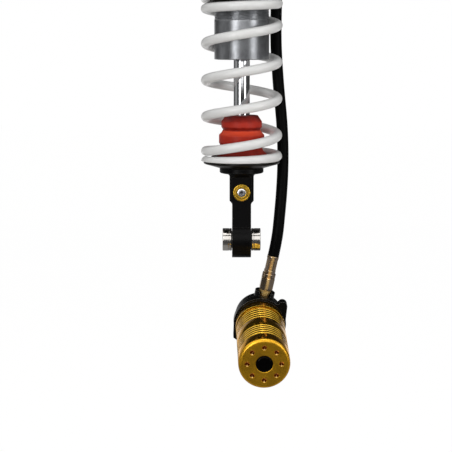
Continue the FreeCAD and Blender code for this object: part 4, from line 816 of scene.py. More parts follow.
@dataclass(frozen=True)
class Drilled(Anodised):
    """Anodised face with drilled dimples: painted shade inside them, a painted highlight on walls that
    look up.
    """

    face_at: Corner = (0.0, 0.0, 0.0)
    inward: Corner = (0.0, 1.0, 0.0)
    reach: tuple[float, float] = (12.5, 20.2)
    # painted shade for the dimples' hollows, and the painted highlight for their walls that look up
    painted_dimple_shade: Colour = (0.17, 0.034, 0.003)
    bright: Colour = (1.0, 0.66, 0.22)
    facing_up: tuple[float, float] = (0.62, 0.637)
    side_from: tuple[float, float] = (3.0, 3.6)
    blur: float = 0.1
    smoother: float = 0.5

    def dress(self, bench: Bench) -> None:
        """Mix painted shade in where a point lies behind the face and between two radii.

        With v from the face's middle to the point and a the unit vector into the cap, the depth
        is v.a; the length of v stands for the radius because the dimples are shallow. Walls
        that look up get a painted highlight instead, which the normal's z decides. Behind the rounded
        rim the turned side is smoother than the face.

        Args:
            bench: the material's node tree.
        """
        super().dress(bench)
        plain = bench.wired("Base Color")
        depth = bench.across(self.face_at, self.inward)
        radius = bench.add("ShaderNodeVectorMath", {"operation": "DISTANCE"},
                           {0: bench.spot(), 1: tuple(c * MM for c in self.face_at)}, "Value")
        low, high, blur = (part * MM for part in (*self.reach, self.blur))
        inside = depth.rise(blur, 3 * blur) * radius.rise(low - blur, low)
        inside = inside * (1 - radius.rise(high, high + blur))
        up = bench.add("ShaderNodeSeparateXYZ",
                       sockets={0: bench.add("ShaderNodeTexCoord", out="Normal")}, out="Z")
        wall = bench.mix(up.rise(*self.facing_up), self.painted_dimple_shade, self.bright)
        side = depth.rise(*(part * MM for part in self.side_from))
        # the dimples get painted shade, and their up-facing walls a painted highlight
        bench.feed("Base Color", bench.mix(inside, plain, wall))
        bench.feed("Roughness", bench.wired("Roughness") * (1 - side * self.smoother))


@dataclass(frozen=True)
class Polished(Finish):
    """Bright metal with very fine marks and faint smears."""

    grain: Grain = Grain.RUN
    pitch_mm: float = 0.3
    depth_mm: float = 0.0012
    smear: float = 0.06
    smear_mm: float = 6.0
    smear_stretch: Colour = (1.0, 1.0, 0.35)
    fine_mm: float = 0.2
    # colour of the painted shade over the start of the outline, as in a screw's socket
    dark: Colour = (0.13, 0.13, 0.14)
    painted_shade_run: float = 0.0
    dark_blur: float = 0.15

    def dress(self, bench: Bench) -> None:
        """Smears in the gloss, marks in the normal, and painted shade over the start of the outline if it
        has one.

        Args:
            bench: the material's node tree.
        """
        # painted shade: the start of the outline is darker, as in the screw's hexagon socket
        if self.painted_shade_run > 0:
            run = bench.add("ShaderNodeAttribute", {"attribute_name": "run"}, out="Fac")
            past = run.rise(self.painted_shade_run - self.dark_blur, self.painted_shade_run)
            bench.feed("Base Color", bench.mix(past, self.dark, self.colour))
        smears = bench.noise(self.smear_mm, 4.0, bench.spot(self.smear_stretch)).rise(0.45, 0.75)
        fine = self.grain is Grain.NONE
        marks = bench.noise(self.fine_mm) if fine else bench.lines(self.grain, self.pitch_mm)
        bench.feed("Roughness", self.roughness + smears * self.smear + marks * 0.03)
        bench.feed("Normal", bench.bump(marks, self.depth_mm))


@dataclass(frozen=True)
class Plated(Finish):
    """Zinc-plated steel: cloudy, with streaks and warm and cold patches."""

    warm: Colour = (0.4, 0.34, 0.25)
    dark_share: float = 0.35
    streak: Colour = (1.0, 1.0, 0.12)
    streak_mm: float = 0.7
    cloud_mm: float = 5.0
    depth_mm: float = 0.006
    edge_mm: float = 0.2

    def dress(self, bench: Bench) -> None:
        """Streaks along the piece in colour, gloss and normal.

        Args:
            bench: the material's node tree.
        """
        streaks = bench.noise(self.streak_mm, 3.0, bench.spot(self.streak))
        patches = bench.noise(self.cloud_mm, 3.0).rise(0.35, 0.65)
        tone = bench.mix(patches * 0.8, self.colour, self.warm)
        dark = numbers(np.array(self.warm) * self.dark_share)
        bench.feed("Base Color", bench.mix(streaks.rise(0.5, 0.72) * 0.6, tone, dark))
        bench.feed("Roughness", self.roughness * (0.75 + streaks * 0.5))
        bench.feed("Normal", bench.bump(streaks, self.depth_mm, bench.soft_edges(self.edge_mm)))


@dataclass(frozen=True)
class Moulded(Finish):
    """Moulded rubber or plastic: mottled, with a fine skin."""

    dusty: Colour = (0.1, 0.1, 0.1)
    lump_mm: float = 3.0
    dust: float = 0.2
    skin_mm: float = 0.3
    skin_depth: float = 0.01

    def undertone(self, bench: Bench) -> Signal | Colour:
        """The colour under the dust."""
        return self.colour

    def dress(self, bench: Bench) -> None:
        """Dust and mottling in the colour, and the skin in the normal.

        Args:
            bench: the material's node tree.
        """
        lumps = bench.noise(self.lump_mm, 4.0)
        skin = bench.noise(self.skin_mm)
        bench.feed("Base Color",
                   bench.mix(lumps.rise(0.35, 0.8) * self.dust, self.undertone(bench), self.dusty))
        bench.feed("Roughness", self.roughness * (0.85 + lumps * 0.3))
        bench.feed("Normal", bench.bump(skin * 0.5 + lumps * 0.5, self.skin_depth))


@dataclass(frozen=True)
class HeightShaded(Moulded):
    """Moulded rubber whose colour changes with height: painted shade in its folds, a painted highlight on
    its slopes.
    """

    low: float = 0.0
    height: float = 45.0
    cloud_mm: float = 7.0
    uneven: float = 0.04
    stops: tuple[tuple[float, Colour], ...] = ()

    def undertone(self, bench: Bench) -> Signal:
        """Ramp of painted shade and highlight over the height from low, a little uneven round the piece.

        Args:
            bench: the material's node tree.

        Returns:
            The colour at each height.
        """
        rise = bench.across((0.0, 0.0, self.low), (0.0, 0.0, 1.0)) / (self.height * MM)
        place = rise + (bench.noise(self.cloud_mm, 3.0) - 0.5) * self.uneven
        return bench.add("ShaderNodeValToRGB", {"stops": self.stops}, {"Fac": place}, "Color")


@dataclass(frozen=True)
class HighlightStreaked(Plated):
    """Plated fitting with a painted highlight: a yellow streak down the middle of its front."""

    middle: Corner = (0.0, 0.0, 0.0)
    sideways: Corner = (1.0, 0.0, 0.0)
    half_mm: float = 2.3
    core_share: float = 0.25
    stain: Colour = (1.0, 0.66, 0.26)
    highlight_mm: float = 0.9
    cover: float = 0.85

    def dress(self, bench: Bench) -> None:
        """Mix a painted highlight in near the middle plane, in patchy streaks, and make the metal less
        metallic there.

        Args:
            bench: the material's node tree.
        """
        super().dress(bench)
        side = bench.across(self.middle, self.sideways)
        near = 1 - side.most(0.0 - side).rise(self.core_share * self.half_mm * MM, self.half_mm * MM)
        patchy = bench.noise(self.highlight_mm, 3.0, bench.spot(self.streak))
        # runs: share of the painted highlight streak, patchy along the fitting
        runs = near * self.cover * (0.55 + patchy * 0.9).least(1.0)
        bench.feed("Base Color", bench.mix(runs, bench.wired("Base Color"), self.stain))
        bench.feed("Metallic", 1 - runs * 0.5)


BLACK_TURNED = Anodised("black_turned", (0.009, 0.007, 0.005), 0.32, specular=0.2, grain=Grain.RUN,
                        worn=(0.12, 0.115, 0.11), pitch_mm=0.4, depth_mm=0.006)
BLACK_MILLED = Anodised("black_milled", (0.003, 0.0028, 0.003), 0.34, specular=0.1, grain=Grain.Z,
                        worn=(0.13, 0.125, 0.12), pitch_mm=0.5, depth_mm=0.004, edge_mm=0.4,
                        edge_wear=0.6)
BLACK_CAST = Anodised("black_cast", (0.003, 0.003, 0.003), 0.3, specular=0.12,
                      worn=(0.22, 0.215, 0.21), depth_mm=0.012, edge_mm=0.5, edge_wear=0.9)
GOLD_TURNED = Anodised("gold_turned", (0.82, 0.48, 0.03), 0.2, 1.0, grain=Grain.RUN,
                       worn=(0.95, 0.72, 0.25), pitch_mm=0.3, depth_mm=0.005, edge_mm=0.2,
                       grazing=(1.0, 0.66, 0.14), coat=0.45, coat_roughness=0.14)
GOLD_CAP = Drilled("gold_cap", (1.0, 0.52, 0.02), 0.38, 1.0, grain=Grain.RUN,
                   worn=(1.0, 0.8, 0.3), grazing=(1.0, 0.7, 0.2), coat=0.4, coat_roughness=0.2)
GOLD_KNOB = Anodised("gold_knob", (0.92, 0.56, 0.06), 0.26, 1.0, grain=Grain.RUN,
                     worn=(1.0, 0.8, 0.3), pitch_mm=0.2, depth_mm=0.003, edge_mm=0.12)
SPRING_WHITE = PowderCoat("spring_white", (0.86, 0.86, 0.85), 0.3, coat=0.3, coat_roughness=0.12)
CHROME_ROD = Polished("chrome_rod", (0.78, 0.79, 0.81), 0.07, 1.0, grain=Grain.Z)
CHROME_TURNED = Polished("chrome_turned", (0.66, 0.63, 0.59), 0.13, 1.0,
                         depth_mm=0.0003, smear=0.02)
ALUMINIUM = Anodised("hard_coated_aluminium", (0.42, 0.43, 0.45), 0.32, 1.0, grain=Grain.RUN,
                     worn=(0.8, 0.8, 0.82), depth_mm=0.004)
ALUMINIUM_PLAIN = Anodised("plain_aluminium", (0.42, 0.43, 0.45), 0.32, 1.0, worn=(0.8, 0.8, 0.82))
# the bump stop's stops are its red with painted shade in the folds and a painted highlight on the flares
ELASTOMER = HeightShaded("red_elastomer", (0.42, 0.016, 0.004), 0.42, specular=0.16,
                     dusty=(0.7, 0.05, 0.02), lump_mm=8.0, dust=0.25, skin_mm=0.6, skin_depth=0.02,
                     low=SPRING_BASE, stops=(
                         (0.0, (0.16, 0.010, 0.004)), (0.38, (0.38, 0.022, 0.010)),
                         (0.54, (0.44, 0.026, 0.012)), (0.60, (0.70, 0.066, 0.024)),
                         (0.655, (0.78, 0.075, 0.028)), (0.685, (0.20, 0.006, 0.003)),
                         (0.73, (0.20, 0.006, 0.002)), (0.76, (0.46, 0.032, 0.018)),
                         (0.83, (0.48, 0.032, 0.018)), (0.9, (0.26, 0.010, 0.005)),
                         (0.97, (0.10, 0.002, 0.002))))
HOSE_BLACK = Moulded("hose_black", (0.002, 0.002, 0.002), 0.42, specular=0.04,
                     dusty=(0.008, 0.008, 0.007), skin_mm=0.8, skin_depth=0.03)
SEAL_BLACK = Moulded("seal_black", (0.014, 0.014, 0.014), 0.5)
FITTING_STEEL = Plated("fitting_steel", (0.34, 0.27, 0.22), 0.17, 1.0, warm=(0.42, 0.30, 0.17))
# plated fitting with a painted yellow highlight streak down its middle
FITTING_HIGHLIGHTED = HighlightStreaked("fitting_stained", (0.34, 0.27, 0.22), 0.2, 1.0, warm=(0.42, 0.30, 0.17))
STEEL_BRIGHT = Polished("steel_bright", (0.66, 0.67, 0.69), 0.16, 1.0, grain=Grain.NONE)
# the screw's hexagon socket gets painted shade over the start of its outline
SCREW_STEEL = Polished("screw_steel", (0.86, 0.87, 0.9), 0.2, 1.0, grain=Grain.NONE, painted_shade_run=2.3)
STEEL_DARK = Plated("steel_dark", (0.12, 0.12, 0.13), 0.42, 1.0, warm=(0.16, 0.13, 0.11),
                    streak=(1.0, 1.0, 1.0))
BRASS_TURNED = Anodised("brass_turned", (1.0, 0.66, 0.22), 0.34, 0.55,
                        worn=(1.0, 0.95, 0.8), depth_mm=0.003, edge_mm=0.45, edge_wear=1.6)
BRONZE = Polished("bronze_lining", (0.45, 0.29, 0.13), 0.35, 1.0, grain=Grain.NONE)
GLIDE = Moulded("glide_plastic", (0.26, 0.13, 0.05), 0.5)
PLUG_BLACK = Moulded("plug_black", (0.001, 0.001, 0.001), 0.08, specular=0.06,
                     dusty=(0.004, 0.004, 0.004), dust=0.1, skin_mm=1.2, skin_depth=0.003)

SLOT_FINISH: dict[Slot, Finish] = {
    Slot.BLACK: BLACK_CAST, Slot.GOLD: GOLD_TURNED, Slot.SPRING_COAT: SPRING_WHITE,
    Slot.CHROME: CHROME_ROD, Slot.ALUMINIUM: ALUMINIUM_PLAIN, Slot.ELASTOMER: ELASTOMER,
    Slot.HOSE: HOSE_BLACK, Slot.SEAL: SEAL_BLACK, Slot.PLATED: FITTING_STEEL,
    Slot.STEEL: STEEL_BRIGHT, Slot.DARK_STEEL: STEEL_DARK, Slot.BRASS: BRASS_TURNED,
    Slot.BRONZE: BRONZE, Slot.GLIDE: GLIDE, Slot.PLASTIC: PLUG_BLACK,
}


@dataclass(frozen=True)
class Role:
    """What a new piece is: its body, its slot in the record, its looks and its CAD node."""

    body: Body
    slot: Slot
    finish: Finish
    node: str


@dataclass
class Workshop:
    """The loaded frame and the materials painted so far."""

    frame: dict
    painted: dict[Finish, bpy.types.Material] = field(default_factory=dict)

    def paint(self, finish: Finish) -> bpy.types.Material:
        """The material of a finish, made the first time it is asked for.

        Args:
            finish: the looks.

        Returns:
            The material, shared by all that has this finish.
        """
        if finish not in self.painted:
            self.painted[finish] = finish.paint()
        return self.painted[finish]

    def dress_node(self, node: str, finish: Finish) -> Piece:
        """Give a CAD node a finish in each of its material slots.

        Args:
            node: the node's name.
            finish: the looks.

        Returns:
            The node's object.
        """
        obj = self.frame["nodes"][node]
        for slot in obj.material_slots:
            slot.material = self.paint(finish)
        return obj

    def dress_all_nodes(self) -> None:
        """Give each CAD node the finish of its slot in the record."""
        for part in self.frame["record"]["subparts"]:
            self.dress_node(part["node"], SLOT_FINISH[Slot(part["material_slot"])])

    def set_down(self, obj: Piece, role: Role) -> Piece:
        """Finish a new piece, hide the CAD node that it stands in for and attach it to its body.

        Args:
            obj: the piece.
            role: what it is.

        Returns:
            The same object.
        """
        obj.data.materials.clear()
        obj.data.materials.append(self.paint(role.finish))
        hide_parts(role.node)
        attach(obj, role.body.value)
        return obj

    def form(self, name: str, shells: Sequence[Shell], role: Role, sharp_deg: float = SHARP_DEG) -> Piece:
        """Make a piece of closed surfaces in their places."""
        return self.set_down(make_object(name, shells, sharp_deg), role)

    def turned(self, name: str, outline: Array, place: Place, role: Role, steps: int = 96,
               sharp_deg: float = SHARP_DEG) -> Piece:
        """Make a piece of one outline turned about a place's z."""
        return self.form(name, [lathe(outline, steps).moved(place)], role, sharp_deg)


# The object's own pieces


@dataclass
class CoilSpring:
    """White coil spring, right-hand wound, both ends closed and ground flat."""

    wire: float = 9.4
    outer: float = 80.4
    base: float = SPRING_BASE
    length: float = 159.0
    turns: float = 6.0
    closed_turns: float = 1.0
    blend_turns: float = 0.16
    closed_pitch: float = 9.9
    start_deg: float = 180.0
    grind: float = 0.3
    end_round: float = 0.9
    end_rings: int = 4
    per_turn: int = 144
    around: int = 40
    stroke: float = 54.0
    sharp_deg: float = 60.0

    def rise(self, turn: Array) -> Array:
        """Height of the wire's centre above its start.

        From an end, the height grows by the closed pitch for each closed turn, then by a pitch
        that changes evenly to the open one, then by the open pitch; the second half mirrors
        the first.

        Args:
            turn: turns from the lower end.

        Returns:
            Heights in millimetres.
        """
        total = self.length + 2 * self.grind
        closed, blend, pitch = self.closed_turns, self.blend_turns, self.closed_pitch
        open_pitch = (total - (2 * closed + blend) * pitch) / (self.turns - 2 * closed - blend)

        def from_end(u: Array) -> Array:
            """Height gained over a number of turns from either end.

            Args:
                u: turns from the end.

            Returns:
                Heights in millimetres.
            """
            into = np.clip(u - closed, 0, blend)
            rest = np.maximum(u - closed - blend, 0)
            near = pitch * (np.minimum(u, closed) + into)
            return near + (open_pitch - pitch) * into ** 2 / (2 * blend) + open_pitch * rest

        return np.where(turn <= self.turns / 2, from_end(turn), total - from_end(self.turns - turn))

    def surface(self) -> Shell:
        """Round wire along the helix, flattened where the ends are ground.

        The centre line is (R cos a, R sin a, z(a)). Each ring lies across it: its point at angle
        b is the centre plus r cos b along the radius and r sin b along the second normal. The
        first and last rings shrink to a pole, which rounds the wire's cut ends, and heights
        past the ground faces are brought back to them.

        Returns:
            The closed surface.
        """
        inset = self.end_round / (math.pi * (self.outer - self.wire))
        quarter = np.linspace(1 / self.end_rings, 1, self.end_rings)[:-1] * np.pi / 2
        lead = inset * (1 - np.cos(quarter))
        turn = np.linspace(inset, self.turns - inset, int(self.turns * self.per_turn) + 1)
        turn = np.concatenate([[0], lead, turn, self.turns - lead[::-1], [self.turns]])
        size = np.full(len(turn), self.wire / 2)
        size[1:self.end_rings] = self.wire / 2 - self.end_round + self.end_round * np.sin(quarter)
        size[-self.end_rings:-1] = size[1:self.end_rings][::-1]
        mean = (self.outer - self.wire) / 2
        angle = math.radians(self.start_deg) + 2 * np.pi * turn
        radial = np.stack([np.cos(angle), np.sin(angle), np.zeros_like(angle)], axis=-1)
        centre = radial * mean
        centre[:, 2] = self.base - self.grind + self.rise(turn)
        slope = np.gradient(self.rise(turn), 2 * np.pi * turn)
        ahead = np.stack([-mean * np.sin(angle), mean * np.cos(angle), slope], axis=-1)
        ahead /= np.linalg.norm(ahead, axis=1, keepdims=True)
        across = np.cross(ahead, radial)
        bend = np.arange(self.around) * (2 * np.pi / self.around)
        ring = (np.cos(bend)[None, :, None] * radial[:, None]
                + np.sin(bend)[None, :, None] * across[:, None])
        grid = centre[:, None] + size[:, None, None] * ring
        shell = poled(grid[1:-1], centre[[0, -1]], turn * 2 * np.pi * mean)
        shell.points[:, 2] = np.clip(shell.points[:, 2], self.base, self.base + self.length)
        return shell.outward()

    def build(self, shop: Workshop) -> list[Piece]:
        """Make the spring, with its own copy of its mesh.

        Args:
            shop: the frame and its materials.

        Returns:
            The pieces made, in order.
        """
        obj = shop.form("coil_spring_wire", [self.surface()],
                        Role(Body.DAMPER, Slot.SPRING_COAT, SPRING_WHITE, "coil_spring"), self.sharp_deg)
        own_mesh(obj)
        return [obj]


@dataclass
class SpringCarriers:
    """What the spring bears on: lower seat, upper seat and the two slotted collars."""

    base: float = SPRING_BASE
    top: float = SPRING_TOP
    pilot: float = 30.3
    rod_hole: float = 8.3
    lower_rim: float = 37.75
    lower_edge: float = 2.7
    lower_height: float = 7.5
    lower_foot: float = 21.0
    lip_height: float = 4.8
    lip_width: float = 4.0
    upper_rim: float = 38.5
    upper_edge: float = 4.3
    upper_height: float = 7.0
    spigot: float = 6.0
    thread: float = 27.15
    preload_rim: float = 37.0
    preload_height: float = 12.0
    lock_rim: float = 35.0
    lock_height: float = 8.0
    lock_turned_deg: float = 30.0
    slots: int = 6
    slot_half: float = 4.0
    slot_depth: float = 4.0
    edge: float = 1.0
    edge_rows: int = 6
    floor_points: int = 7
    side_points: int = 4
    arc_points: int = 16
    seat_steps: int = 144
    collar_sharp_deg: float = 30.0

    def lower_seat(self) -> Array:
        """Outline of the conical lower seat with its raised lip.

        Returns:
            The (radius, height) rows.
        """
        inner = self.pilot - self.lip_width
        lip = self.base + self.lip_height
        foot = self.base - self.lower_height
        return soften([
            (self.rod_hole, foot, 0.3), (self.lower_foot, foot, 0.6),
            (self.lower_rim, self.base - self.lower_edge, 0.8), (self.lower_rim, self.base, 0.5),
            (self.pilot, self.base, 0.2), (self.pilot, lip, 1.2), (inner, lip, 0.8),
            (inner, self.base, 0.3), (self.rod_hole, self.base, 0.4)])

    def upper_seat(self) -> Array:
        """Outline of the upper seat with the spigot inside the spring.

        Returns:
            The (radius, height) rows.
        """
        top, low = self.top + self.upper_height, self.top - self.spigot
        return soften([
            (self.thread, low, 0.2), (self.pilot, low, 1.2), (self.pilot, self.top, 0.2),
            (self.upper_rim, self.top, 0.4), (self.upper_rim, self.top + self.upper_edge, 0.8),
            (self.preload_rim, top, 0.6), (self.thread, top, 0.2)])

    def slot_line(self, radius: float, rim: float) -> Array:
        """One spanner slot and the arc up to the next slot, at one height of a collar.

        The slot's middle is the line at angle 0. Its floor is straight across at rim minus
        depth, and its walls run parallel to the middle at half the slot's width. The next
        slot's near wall is the same wall turned by one slot's share of the circle.

        Args:
            radius: radius of the outer line at this height.
            rim: full radius of the collar.

        Returns:
            Points x + iy, from one wall round to the next.
        """
        half, floor = self.slot_half, rim - self.slot_depth
        sweep = 2 * np.pi / self.slots
        wall = math.asin(half / radius)
        side = np.linspace(floor, radius * math.cos(wall), self.side_points)[1:-1]
        return np.concatenate([
            floor + 1j * np.linspace(-half, half, self.floor_points), side + 1j * half,
            radius * np.exp(1j * np.linspace(wall, sweep - wall, self.arc_points)),
            (side[::-1] - 1j * half) * np.exp(1j * sweep)])

    def collar(self, rim: float, low: float, high: float, first_deg: float = 0.0) -> Shell:
        """Ring with hook spanner slots.

        At each height the outer line has the radius of a rounded edge, rim minus the edge's
        rise, and it is the same slot line turned to each slot. The bore's line has a point at
        the same angle for each point of the outer line, and the grid runs up the outside and
        down the bore. Points across the axis are complex numbers, x + iy.

        Args:
            rim: full radius.
            low: height of its lower face.
            high: height of its upper face.
            first_deg: angle of its first slot.

        Returns:
            The closed surface.
        """
        arc = np.linspace(0, np.pi / 2, self.edge_rows)
        lift, draw = self.edge * (1 - np.cos(arc)), self.edge * (1 - np.sin(arc))
        heights = np.concatenate([low + lift, high - lift[::-1]])
        radii = np.concatenate([rim - draw, rim - draw[::-1]])
        turns = math.radians(first_deg) + 2 * np.pi / self.slots * np.arange(self.slots)
        lines = np.array([self.slot_line(radius, rim) for radius in radii])
        outer = (lines[:, None] * np.exp(1j * turns)[None, :, None]).reshape(len(radii), -1)
        bore = self.thread * np.exp(1j * np.angle(outer[self.edge_rows - 1]))
        grid = np.concatenate([outer, [bore, bore]])
        z = np.concatenate([heights, [high, low]])
        run = run_along(np.stack([np.concatenate([radii, [self.thread] * 2]), z], axis=1))
        z = np.repeat(z[:, None], grid.shape[1], axis=1)
        points = np.stack([grid.real, grid.imag, z], axis=-1).reshape(-1, 3)
        faces = [grid_faces(*grid.shape, True, True)]
        return Shell(points, faces, np.repeat(run, grid.shape[1])).outward()

    def build(self, shop: Workshop) -> list[Piece]:
        """Make the seats and the collars.

        Args:
            shop: the frame and its materials.

        Returns:
            The pieces made, in order.
        """
        low = self.top + self.upper_height
        mid = low + self.preload_height
        high = mid + self.lock_height
        return [
            shop.turned("lower_seat_dish", self.lower_seat(), upright(),
                        Role(Body.SHAFT, Slot.BLACK, BLACK_TURNED, "lower_spring_seat"), self.seat_steps),
            shop.turned("upper_seat_ring", self.upper_seat(), upright(),
                        Role(Body.SEAT, Slot.BLACK, BLACK_TURNED, "upper_spring_seat"), self.seat_steps),
            shop.form("preload_collar", [self.collar(self.preload_rim, low, mid)],
                      Role(Body.COLLARS, Slot.GOLD, GOLD_TURNED, "preload_ring"), self.collar_sharp_deg),
            shop.form("lock_collar", [self.collar(self.lock_rim, mid, high, self.lock_turned_deg)],
                      Role(Body.COLLARS, Slot.GOLD, GOLD_TURNED, "lock_ring"), self.collar_sharp_deg)]


@dataclass
class DamperTube:
    """Threaded tube under the head, with the clip's groove inside its lower end."""

    top: float = -34.0
    skirt: float = -52.0
    thread_end: float = -118.0
    bottom: float = -156.0
    outer: float = 27.0
    bore: float = 23.0
    clip_top: float = -152.0
    clip_low: float = -153.6
    clip_depth: float = 1.0
    root: float = 26.35
    pitch: float = 1.5
    flank: float = 0.6875
    rows_per_pitch: int = 8
    sharp_deg: float = 40.0

    def surface(self) -> Shell:
        """Tube with a real thread.

        Over the threaded rows the radius is the outer one less the thread's depth times a wave
        that is clipped flat at crest and root: its phase is the height over the pitch minus
        the share of a turn, and it fades out over one pitch at each end.

        Returns:
            The closed surface.
        """
        rows = int((self.skirt - self.thread_end) / self.pitch * self.rows_per_pitch)
        heights = np.linspace(self.skirt, self.thread_end, rows)
        clip = self.bore + self.clip_depth
        lower = soften([
            (self.outer, self.thread_end - 1.0), (self.outer, self.bottom, 0.8),
            (self.bore, self.bottom, 0.4), (self.bore, self.clip_low), (clip, self.clip_low),
            (clip, self.clip_top), (self.bore, self.clip_top), (self.bore, self.top),
            (self.outer, self.top, 0.4), (self.outer, self.skirt + 0.5)], False)
        outline = np.concatenate([np.stack([np.full(rows, self.outer), heights], axis=1), lower])
        cut = np.arange(len(outline)) < rows

        def shape(radius: Array, angle: Array) -> Array:
            """Radius of the thread over its rows, and the outline's own radius elsewhere.

            Args:
                radius: radii by row and column.
                angle: angle of each column.

            Returns:
                The new radii.
            """
            z = outline[:, 1][:, None]
            wave = np.clip(0.5 + self.flank * np.cos(2 * np.pi * (z / self.pitch) - angle), 0, 1)
            fade = np.clip(np.minimum(self.skirt - z, z - self.thread_end) / self.pitch, 0, 1)
            return np.where(cut[:, None], radius - (self.outer - self.root) * wave * fade, radius)

        return lathe(outline, shape=shape)

    def build(self, shop: Workshop) -> list[Piece]:
        """Make the tube; the pieces inside it are CAD nodes."""
        return [shop.form("threaded_tube", [self.surface()],
                          Role(Body.DAMPER, Slot.ALUMINIUM, ALUMINIUM, "cylinder_tube"), self.sharp_deg)]


@dataclass
class RodAndBumpStop:
    """Chromed rod and the red bump stop on it.

    The rows of profile are the bump stop's corners from the foot up: how far each is set in
    from the foot, how far it lies below the top, and its rounding.
    """

    rod: float = 8.0
    shank: float = 5.0
    rod_end: float = -280.3
    shoulder: float = -127.0
    shank_top: float = -94.0
    bore: float = 3.1
    orifice: float = 1.6
    orifice_length: float = 4.0
    base: float = SPRING_BASE
    foot: float = 25.0
    foot_chamfer: float = 0.5
    stop_bore: float = 8.2
    stop_height: float = 45.0
    profile: tuple[Corner, ...] = (
        (0.0, 38.2, 2.6), (3.2, 35.2, 2.2), (4.8, 32.2, 2.4), (3.6, 29.0, 2.0), (2.5, 27.0, 2.0),
        (2.5, 19.4, 1.2), (5.2, 16.6, 1.6), (6.6, 14.0, 0.9), (4.9, 11.6, 0.8), (4.8, 6.2, 1.6),
        (9.0, 0.0, 1.0))
    arc_steps: int = 6
    stop_steps: int = 128
    stop_sharp_deg: float = 60.0

    def rod_outline(self) -> Array:
        """Outline of the rod, its shank and its bore.

        Returns:
            The (radius, height) rows.
        """
        step = self.shank_top - self.orifice_length
        return soften([
            (self.bore, self.rod_end), (self.rod, self.rod_end, 0.8), (self.rod, self.shoulder, 0.3),
            (self.shank, self.shoulder), (self.shank, self.shank_top, 0.5),
            (self.orifice, self.shank_top), (self.orifice, step), (self.bore, step)])

    def stop_outline(self) -> Array:
        """Outline of the bump stop: foot, waist, belly, groove and crown.

        Returns:
            The (radius, height) rows.
        """
        top, foot = self.base + self.stop_height, self.foot
        skin = [(foot - inset, top - depth, rounding) for inset, depth, rounding in self.profile]
        return soften([(self.stop_bore, self.base, 0.4), (foot - self.foot_chamfer, self.base, 0.4),
                       *skin, (self.stop_bore, top, 0.5)], steps=self.arc_steps)

    def build(self, shop: Workshop) -> list[Piece]:
        """Make the rod and the bump stop.

        Args:
            shop: the frame and its materials.

        Returns:
            The pieces made, in order.
        """
        return [
            shop.turned("chromed_rod", self.rod_outline(), upright(),
                        Role(Body.SHAFT, Slot.CHROME, CHROME_ROD, "piston_rod")),
            shop.turned("bump_stop_moulding", self.stop_outline(), upright(),
                        Role(Body.SHAFT, Slot.ELASTOMER, ELASTOMER, "bump_stop"),
                        self.stop_steps, self.stop_sharp_deg)]


@dataclass
class EyeSpacers:
    """The two turned spacers in an eye, the same above and below."""

    hole: float = 5.1
    start: float = 0.05
    shank: float = 7.0
    collar: float = 8.6
    flange: float = 11.25
    ball_half: float = 7.5
    inner: float = 9.8
    end: float = 18.95
    chamfer: float = 0.7
    groove_at: float = 2.1
    groove_depth: float = 0.3
    groove_side: float = 0.2
    groove_floor: float = 0.4

    def outline(self, side: int) -> Array:
        """Outline of one spacer, with a fine groove turned in its flange.

        Args:
            side: 1 for the spacer along +X, -1 for the other.

        Returns:
            The (radius, height) rows.
        """
        step, floor = self.inner + self.groove_at, self.flange - self.groove_depth
        low, high = step + self.groove_side, step + self.groove_side + self.groove_floor
        rows = soften([
            (self.hole, self.start, 0.1), (self.shank, self.start, 0.2),
            (self.shank, self.ball_half, 0.1), (self.collar, self.ball_half, 0.2),
            (self.collar, self.inner, 0.1), (self.flange, self.inner, self.chamfer),
            (self.flange, step, 0.1), (floor, low, 0.1), (floor, high, 0.1),
            (self.flange, high + self.groove_side, 0.1), (self.flange, self.end, self.chamfer),
            (self.hole, self.end, self.chamfer)])
        return rows * (1, side)

    def build(self, shop: Workshop) -> list[Piece]:
        """Make both pairs.

        Args:
            shop: the frame and its materials.

        Returns:
            The pieces made, in order.
        """
        eyes = (("upper", 0.0, Body.UPPER_BALL), ("lower", LOWER_EYE, Body.LOWER_BALL))
        return [shop.form(name + "_eye_spacers",
                          [lathe(self.outline(side)).moved(facing_x(height)) for side in (1, -1)],
                          Role(body, Slot.CHROME, CHROME_TURNED, name + "_spacers"))
                for name, height, body in eyes]


